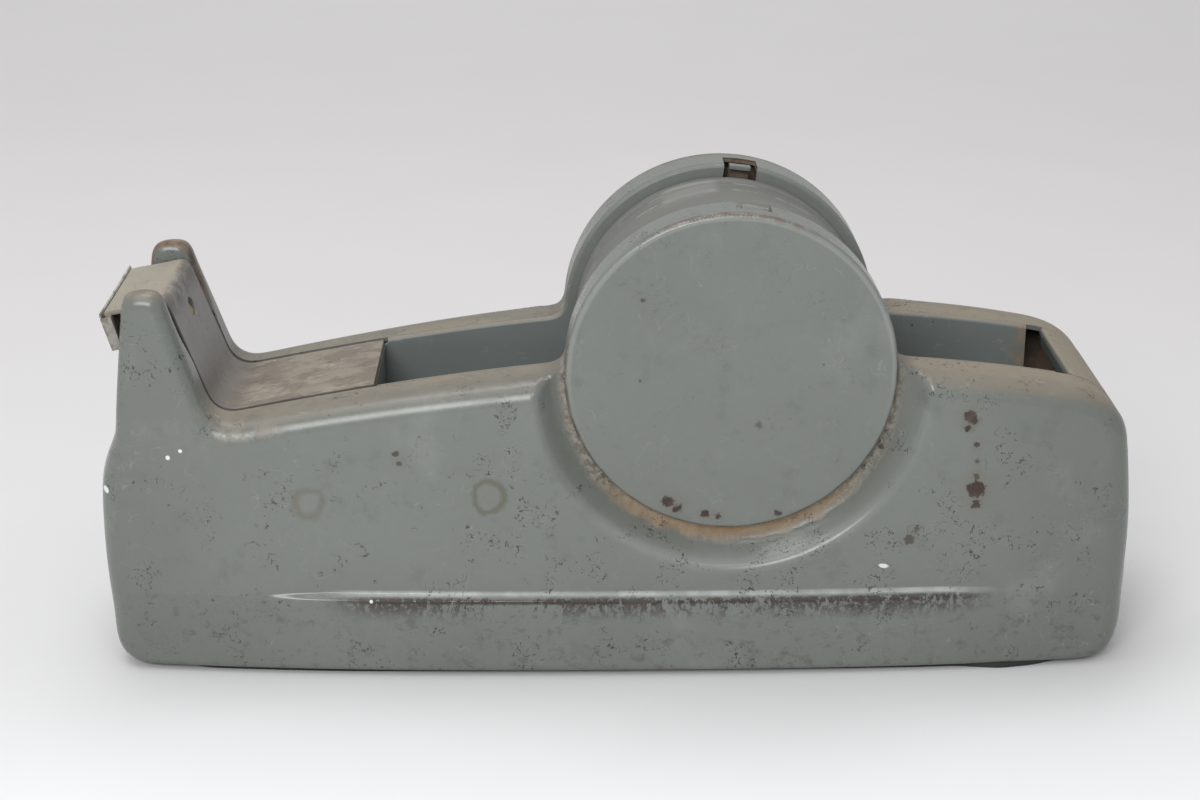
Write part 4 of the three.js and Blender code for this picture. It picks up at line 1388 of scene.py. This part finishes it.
def well_finish(name):
    """The darker enamel of the inner walls, rusty at the rear and dirty along the top."""
    paint = sizes("dispenser_paint")
    net = Net(name)
    fine = net.noise(2.6, 5, 0.6, seed=2)
    cloud = net.noise(26, 3, 0.5, seed=3)
    net.colour = net.shade(0.85 + cloud * 0.3, paint.well)
    streaks = net.noise(5, 4, 0.6, (1, 1, 0.3), 4)
    net.lay(net.step(streaks, 0.58, 0.7) * 0.3, (0.19, 0.205, 0.195))
    out, _ = radial(net)
    up = net.step(net.up.size(), 0.2, 0.8)
    top = up * net.step(net.z, 58, 62)
    dusty = top * (0.45 + net.step(fine, 0.4, 0.6) * 0.35) * net.step(out, -0.4, 0.4)
    net.lay(dusty, paint.grime)
    on_boss = net.step(out, 0.3, -0.1) * top
    net.lay(on_boss * 0.8, paint.enamel)
    rim_wall = net.step(out, -8.0, -5.0) * net.step(out, 0.5, 0.1) * net.step(net.z, 78, 84)
    net.lay(rim_wall * 0.85, net.shade(0.9 + (fine - 0.5) * 0.3, paint.enamel))
    rear = net.step(net.x + (fine - 0.5) * 16, 77, 83)
    net.lay(rear * 0.8, net.mix(fine, (0.10, 0.07, 0.05), (0.30, 0.235, 0.165)))
    floor = net.step(net.z, 12, 6)
    net.lay(floor * 0.6, (0.09, 0.065, 0.045))
    dots = net.specks(5, 0.35, 6, share=0.4)
    net.lay(dots * 0.7, (0.05, 0.035, 0.025))
    net.lay(net.squiggles(6, 8, 0.012, 0.5, 2.0) * 0.4, (0.27, 0.28, 0.27))
    normal = net.bump(net.noise(1.6, 3, 0.6, seed=9), 0.04, 0.5)
    return net.finish(0.42 + top * 0.2 + rear * 0.3, normal)


def drum_finish(name):
    """The drum's enamel: rubbed in bands round it, with pale lines and a smooth patch."""
    paint = sizes("dispenser_paint")
    net = Net(name)
    rise = net.z - AXLE_Z
    angle = net.math("ARCTAN2", net.x, rise)
    wrap = net.nodes.new("ShaderNodeCombineXYZ")
    net.put(net.y * 0.8, wrap.inputs[0])
    net.put(angle * 5.5, wrap.inputs[1])
    band = net.noise(4.5, 5, 0.6, vector=wrap.outputs[0])
    fine = net.noise(2.0, 5, 0.6, seed=4)
    net.colour = net.shade(0.70 + (band - 0.5) * 0.3, paint.enamel)
    net.lay(0.30, (0.195, 0.18, 0.165))
    net.lay(net.step(band, 0.56, 0.66) * 0.35, (0.245, 0.232, 0.212))
    net.lay(net.step(fine, 0.36, 0.28) * 0.35, (0.13, 0.11, 0.09))
    broken = net.noise(7, 4, 0.6, seed=7)
    for place, share in ((-HUB_HALF + 6.0, 0.44), (-HUB_HALF + 2.2, 0.5), (3.5, 0.56), (9.5, 0.6)):
        wander = net.y - place + (net.noise(18, 2, 0.5, seed=place) - 0.5) * 1.6
        line = net.step(wander.size(), 0.32, 0.12) * net.step(broken, share - 0.06, share)
        net.lay(line * 0.75, (0.42, 0.415, 0.39))
    patch = net.between(angle, -0.42, -0.06, 0.04) * net.between(net.y + (broken - 0.5) * 3, 1.5, 13, 0.7)
    net.lay(patch * 0.3, (0.36, 0.35, 0.335))
    ends = net.step(net.y.size(), HUB_HALF - 1.2, HUB_HALF - 0.2)
    net.lay(ends * 0.55, (0.10, 0.085, 0.075))
    dots = net.specks(4.5, 0.3, 9, share=0.35)
    net.lay(dots * 0.6, (0.08, 0.065, 0.05))
    inside = net.step(net.math("SQRT", net.x * net.x + rise * rise), HUB_R - 0.9, HUB_R - 1.2)
    net.lay(inside, (0.12, 0.10, 0.085))
    normal = net.bump(band * 0.6 + fine * 0.4, 0.10, 0.5)
    return net.finish(0.46 - patch * 0.14, normal)


def nose_finish(name):
    """Worn enamel under tan dirt: thick on the platform and the floor, thin on the slope."""
    net = Net(name)
    fine = net.noise(1.8, 5, 0.65, seed=2)
    mid = net.noise(7, 4, 0.6, (1, 1, 1), 3)
    net.colour = net.shade(0.86 + mid * 0.2, (0.225, 0.22, 0.21))
    platform = net.step(net.x, PLATFORM_BACK[0] + 1.0, PLATFORM_BACK[0] - 2.0)
    floor = net.step(net.x, SLOPE_FOOT[0], FLOOR_LOW[0] + 2)
    tan = (0.30, 0.268, 0.215)
    net.lay(platform * (0.65 + net.step(mid, 0.35, 0.6) * 0.3), tan)
    net.lay(platform * net.step(fine, 0.60, 0.70) * 0.6, (0.38, 0.355, 0.31))
    bend = net.between(net.x, PLATFORM_BACK[0] - 1.5, PLATFORM_BACK[0] + 2.0, 1.0)
    net.lay(bend * net.step(mid + fine * 0.5, 0.62, 0.8) * 0.7, (0.085, 0.075, 0.065))
    floor_tone = net.mix(net.step(mid, 0.42, 0.6), (0.165, 0.138, 0.106), (0.24, 0.204, 0.158))
    net.lay(floor * 0.88, floor_tone)
    glue = net.noise(9, 5, 0.72, (0.7, 1.6, 1), 5)
    net.lay(floor * net.step(glue, 0.55, 0.62) * 0.55, (0.31, 0.285, 0.24))
    net.lay(floor * net.step(glue, 0.44, 0.37) * 0.6, (0.11, 0.09, 0.07))
    foot = net.between(net.x, SLOPE_FOOT[0] - 1.5, FLOOR_LOW[0] + 0.5, 2.0)
    net.lay(foot * (0.25 + fine * 0.5), (0.11, 0.09, 0.075))
    crack = net.squiggles(5, 8, 0.02, 0.5, 2.0)
    net.lay(crack * 0.5, (0.09, 0.07, 0.05))
    pale = net.specks(9, 0.4, 10, share=0.3)
    net.lay(pale * 0.6, (0.52, 0.52, 0.50))
    # Painted shade: the plate's side edges behind the cutter are darkened nearly black where the gaps to
    # the shells are.
    edges = net.step(net.y.size(), STRIP_HALF - 1.7, STRIP_HALF - 1.1)
    edges = edges * net.step(net.x, PLATFORM_BACK[0] - 1, PLATFORM_BACK[0] + 2)
    net.lay(edges * 0.85, (0.02, 0.017, 0.014))
    normal = net.bump(glue * floor + mid * 0.4, 0.35, 0.7)
    normal = net.bump(fine, 0.10, 0.7, normal)
    return net.finish(0.5 + (floor + platform) * 0.14 + (fine - 0.5) * 0.15, normal)


def metal_finish(name, base, soiled, dirt_share, roughness, metallic, grain=2.0):
    """Bare metal with a brushed grain, dulled in patches."""
    net = Net(name)
    brushed = net.noise(0.5, 3, 0.6, (0.2, 3, 1), 3)
    patches = net.noise(4, 5, 0.65, seed=4)
    net.colour = net.shade(0.85 + brushed * 0.3, base)
    stained = net.step(patches, 0.62 - dirt_share * 0.4, 0.72 - dirt_share * 0.2)
    net.lay(stained * 0.8, soiled)
    dots = net.specks(2.4, 0.22, 6, share=0.4)
    net.lay(dots * 0.6, tuple(c * 0.5 for c in soiled))
    normal = net.bump(brushed + patches * grain, 0.04, 0.5)
    shine = net.mix(stained, metallic, metallic * 0.35, "FLOAT")
    return net.finish(roughness + stained * 0.25, normal, shine)


def iron_finish(name):
    net = Net(name)
    lumps = net.noise(2.2, 5, 0.7, seed=2)
    net.colour = net.mix(lumps, (0.03, 0.028, 0.026), (0.085, 0.075, 0.068))
    rust = net.step(net.noise(12, 5, 0.6, seed=3), 0.5, 0.65)
    net.lay(rust * 0.6, (0.16, 0.075, 0.035))
    return net.finish(0.8 + (lumps - 0.5) * 0.2, net.bump(lumps, 0.5, 0.8), 0.2)


def pad_finish(name):
    net = Net(name)
    fine = net.noise(0.8, 4, 0.6, seed=2)
    net.colour = net.mix(fine, (0.012, 0.014, 0.013), (0.032, 0.036, 0.034))
    dust = net.step(net.noise(6, 5, 0.7, seed=3), 0.55, 0.7)
    net.lay(dust * 0.3, (0.12, 0.11, 0.10))
    return net.finish(0.85 + (fine - 0.5) * 0.2, net.bump(fine, 0.12, 0.6))


def floor_finish(name):
    """Pale matt paper, with painted shade that makes it a little darker round the object."""
    net = Net(name)
    grain = net.noise(60, 3, 0.5, seed=2)
    # Painted shade: the paper grades darker round the object and back to pale far in front and far behind.
    net.colour = net.mix(net.step(net.y, -150, -20), (0.82, 0.835, 0.85), (0.67, 0.67, 0.675))
    net.lay(net.step(net.y, 40, 300), (0.66, 0.645, 0.65))
    net.lay(net.step(net.y, 500, 1300), (0.82, 0.81, 0.815))
    net.colour = net.shade(0.985 + grain * 0.03, net.colour)
    near = net.specks(90, 0.6, 3, share=0.35) * net.step(net.y, 0, -60)
    net.lay(near * 0.25, (0.45, 0.42, 0.38))
    return net.finish(0.55 + grain * 0.05)


FINISHES = {}


def finish_for(slot):
    """The material of a slot, made once."""
    makers = {
        "shell_left": lambda: shell_finish("old_enamel_left", LEFT_SPOTS),
        "shell_right": lambda: shell_finish("old_enamel_right", []),
        "well_paint": lambda: well_finish("well_enamel"),
        "hub_paint": lambda: drum_finish("drum_enamel"),
        "nose_paint": lambda: nose_finish("dirty_nose_enamel"),
        "blade_steel": lambda: metal_finish("soiled_blade_steel", (0.30, 0.295, 0.26),
                                            (0.14, 0.125, 0.095), 0.4, 0.42, 0.7),
        "plain_steel": lambda: metal_finish("plain_steel", (0.42, 0.42, 0.41),
                                            (0.15, 0.11, 0.08), 0.25, 0.38, 0.9),
        "brass": lambda: metal_finish("old_brass", (0.42, 0.31, 0.10), (0.17, 0.12, 0.05),
                                      0.3, 0.42, 0.7),
        "iron": lambda: iron_finish("rough_iron"),
        "pad_rubber": lambda: pad_finish("dull_rubber"),
    }
    if slot not in FINISHES:
        FINISHES[slot] = makers[slot]()
    return FINISHES[slot]


def coat(piece, slot):
    piece.data.materials.clear()
    piece.data.materials.append(finish_for(slot))


def settle(piece, body, slot, look=None, nodes=()):
    """Gives a finished piece its material, its body and the nodes that it stands for."""
    coat(piece, look or slot)
    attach(piece, body)
    if nodes:
        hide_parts(*nodes)


# ---- operators ------------------------------------------------------------------------------------


class DISPENSER_OT_shells(Operator):
    """Builds the two pressed side shells"""

    bl_idname = "dispenser.shells"
    bl_label = "Side shells"

    def execute(self, context):
        right = build_shell()
        left = mirrored(right, "left_shell")
        settle(right, "base", "shell_paint", "shell_right", ["right_side_shell"])
        settle(left, "base", "shell_paint", "shell_left", ["left_side_shell"])
        return {"FINISHED"}


class DISPENSER_OT_well(Operator):
    """Builds the inner walls and floor of the tape well"""

    bl_idname = "dispenser.well"
    bl_label = "Tape well"

    def execute(self, context):
        settle(build_well(), "base", "well_paint", nodes=["well_frame"])
        return {"FINISHED"}


class DISPENSER_OT_nose(Operator):
    """Builds the bent nose plate, its bracket and its rivet"""

    bl_idname = "dispenser.nose"
    bl_label = "Nose plate"

    def execute(self, context):
        settle(build_nose(), "base", "nose_paint", nodes=["nose_plate"])
        settle(build_bracket(), "base", "well_paint", nodes=["nose_bracket"])
        settle(build_rivet(), "base", "brass", nodes=["nose_rivet"])
        return {"FINISHED"}


class DISPENSER_OT_cutter(Operator):
    """Builds the folded cutter strip and its teeth"""

    bl_idname = "dispenser.cutter"
    bl_label = "Cutter"

    def execute(self, context):
        strip, high, drop, out = build_blade()
        settle(strip, "base", "blade_steel", nodes=["cutter_blade"])
        teeth = build_teeth(high, drop, out, finish_for("blade_steel"))
        settle(teeth, "base", "blade_steel")
        return {"FINISHED"}


class DISPENSER_OT_strips(Operator):
    """Builds the strips that close the front and the rear between the shells"""

    bl_idname = "dispenser.strips"
    bl_label = "Closing strips"

    def execute(self, context):
        front, rear = build_strips()
        settle(front, "base", "shell_paint", "shell_right", ["front_strip"])
        settle(rear, "base", "shell_paint", "shell_right", ["rear_strip"])
        return {"FINISHED"}


class DISPENSER_OT_hub(Operator):
    """Builds the drum and the two hangers that carry it"""

    bl_idname = "dispenser.hub"
    bl_label = "Drum and hangers"

    def execute(self, context):
        settle(build_sleeve(), "hub_wheel", "hub_paint", nodes=["hub_sleeve"])
        right = build_tab()
        left = mirrored(right, "left_hanger_strap")
        settle(right, "carrier", "nose_paint", "shell_right", ["right_hanger"])
        settle(left, "carrier", "nose_paint", "shell_right", ["left_hanger"])
        return {"FINISHED"}


class DISPENSER_OT_foot(Operator):
    """Builds the pad and the screws under the base"""

    bl_idname = "dispenser.foot"
    bl_label = "Foot"

    def execute(self, context):
        settle(build_pad(), "base", "pad_rubber", nodes=["base_pad"])
        settle(build_screws(finish_for("plain_steel")), "base", "plain_steel", nodes=SCREW_NODES)
        return {"FINISHED"}


class DISPENSER_OT_finishes(Operator):
    """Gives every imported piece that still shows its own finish"""

    bl_idname = "dispenser.finishes"
    bl_label = "Finishes"

    def execute(self, context):
        slots = {part["node"]: part["material_slot"] for part in frame["record"]["subparts"]}
        for node, piece in frame["nodes"].items():
            slot = slots[node]
            coat(piece, "shell_right" if slot == "shell_paint" else slot)
        return {"FINISHED"}


class DISPENSER_OT_stage(Operator):
    """Sets the floor, the soft lights and the camera"""

    bl_idname = "dispenser.stage"
    bl_label = "Stage"

    def execute(self, context):
        stage = sizes("dispenser_stage")
        half = stage.floor
        mesh = bpy.data.meshes.new("floor")
        mesh.from_pydata([(-half, -half, 0), (half, -half, 0), (half, half, 0), (-half, half, 0)],
                         [], [(0, 1, 2, 3)])
        floor = bpy.data.objects.new("floor", mesh)
        context.scene.collection.objects.link(floor)
        mesh.materials.append(floor_finish("pale_paper"))
        place_lights(context.scene)
        place_camera(context.scene, stage.lens)
        context.scene.view_settings.view_transform = "Standard"
        return {"FINISHED"}


CAMERA_PLACE = (AXLE_X - 41.53, -524.5, AXLE_Z + 182.3)
CAMERA_DOWN = 20.86
CAMERA_TURN = 1.06
CAMERA_ROLL = 0.1


def place_camera(scene, lens):
    data = bpy.data.cameras.new("camera")
    data.lens = lens
    data.sensor_width = 36
    data.clip_start = 0.01
    camera = bpy.data.objects.new("camera", data)
    scene.collection.objects.link(camera)
    camera.location = [v * MM for v in CAMERA_PLACE]
    aim = Euler((math.radians(90 - CAMERA_DOWN), 0, math.radians(-CAMERA_TURN)))
    roll_about = Euler((0, 0, math.radians(CAMERA_ROLL)))
    camera.rotation_euler = (aim.to_matrix() @ roll_about.to_matrix()).to_euler()
    scene.camera = camera


def area_light(scene, name, place, target, width, height, power, colour=(1, 1, 1)):
    data = bpy.data.lights.new(name, "AREA")
    data.shape = "RECTANGLE"
    data.size = width
    data.size_y = height
    data.energy = power
    data.color = colour
    lamp = bpy.data.objects.new(name, data)
    scene.collection.objects.link(lamp)
    lamp.location = place
    lamp.rotation_euler = (Vector(target) - Vector(place)).to_track_quat("-Z", "Y").to_euler()


def place_lights(scene):
    world = bpy.data.worlds.new("soft_room")
    world.use_nodes = True
    back = world.node_tree.nodes["Background"]
    back.inputs["Color"].default_value = (1.0, 1.0, 1.0, 1)
    back.inputs["Strength"].default_value = 0.5
    scene.world = world
    area_light(scene, "top_box", (-0.25, 0.25, 1.5), (0, 0, 0), 1.2, 0.5, 9.5)
    area_light(scene, "front_box", (-0.45, -1.35, 0.95), (0, 0, 0.05), 0.9, 0.6, 14.5)
    area_light(scene, "strip_light", (-0.15, -0.42, 0.95), (0, 0, 0.06), 1.1, 0.08, 1.5)


STEPS = (DISPENSER_OT_shells, DISPENSER_OT_well, DISPENSER_OT_nose, DISPENSER_OT_cutter,
         DISPENSER_OT_strips, DISPENSER_OT_hub, DISPENSER_OT_foot, DISPENSER_OT_finishes,
         DISPENSER_OT_stage)
GROUPS = {
    "dispenser_shell": ShellSizes,
    "dispenser_nose": NoseSizes,
    "dispenser_paint": PaintColours,
    "dispenser_stage": StageSizes,
}


class DISPENSER_PT_panel(Panel):
    """Lists the dispenser's sizes, colours and building steps"""

    bl_idname = "DISPENSER_PT_panel"
    bl_label = "Tape dispenser"
    bl_space_type = "VIEW_3D"
    bl_region_type = "UI"
    bl_category = "Dispenser"

    def draw(self, context):
        layout = self.layout
        for name, group in GROUPS.items():
            box = layout.box()
            for prop in group.__annotations__:
                box.prop(getattr(context.scene, name), prop)
        for step in STEPS:
            layout.operator(step.bl_idname)


def register():
    for group in GROUPS.values():
        bpy.utils.register_class(group)
    for name, group in GROUPS.items():
        setattr(bpy.types.Scene, name, PointerProperty(type=group))
    for step in STEPS:
        bpy.utils.register_class(step)
    bpy.utils.register_class(DISPENSER_PT_panel)


def unregister():
    bpy.utils.unregister_class(DISPENSER_PT_panel)
    for step in reversed(STEPS):
        bpy.utils.unregister_class(step)
    for name in GROUPS:
        delattr(bpy.types.Scene, name)
    for group in reversed(list(GROUPS.values())):
        bpy.utils.unregister_class(group)


def main():
    register()
    for step in STEPS:
        area, name = step.bl_idname.split(".")
        getattr(getattr(bpy.ops, area), name)()


if __name__ == "__main__":
    main()
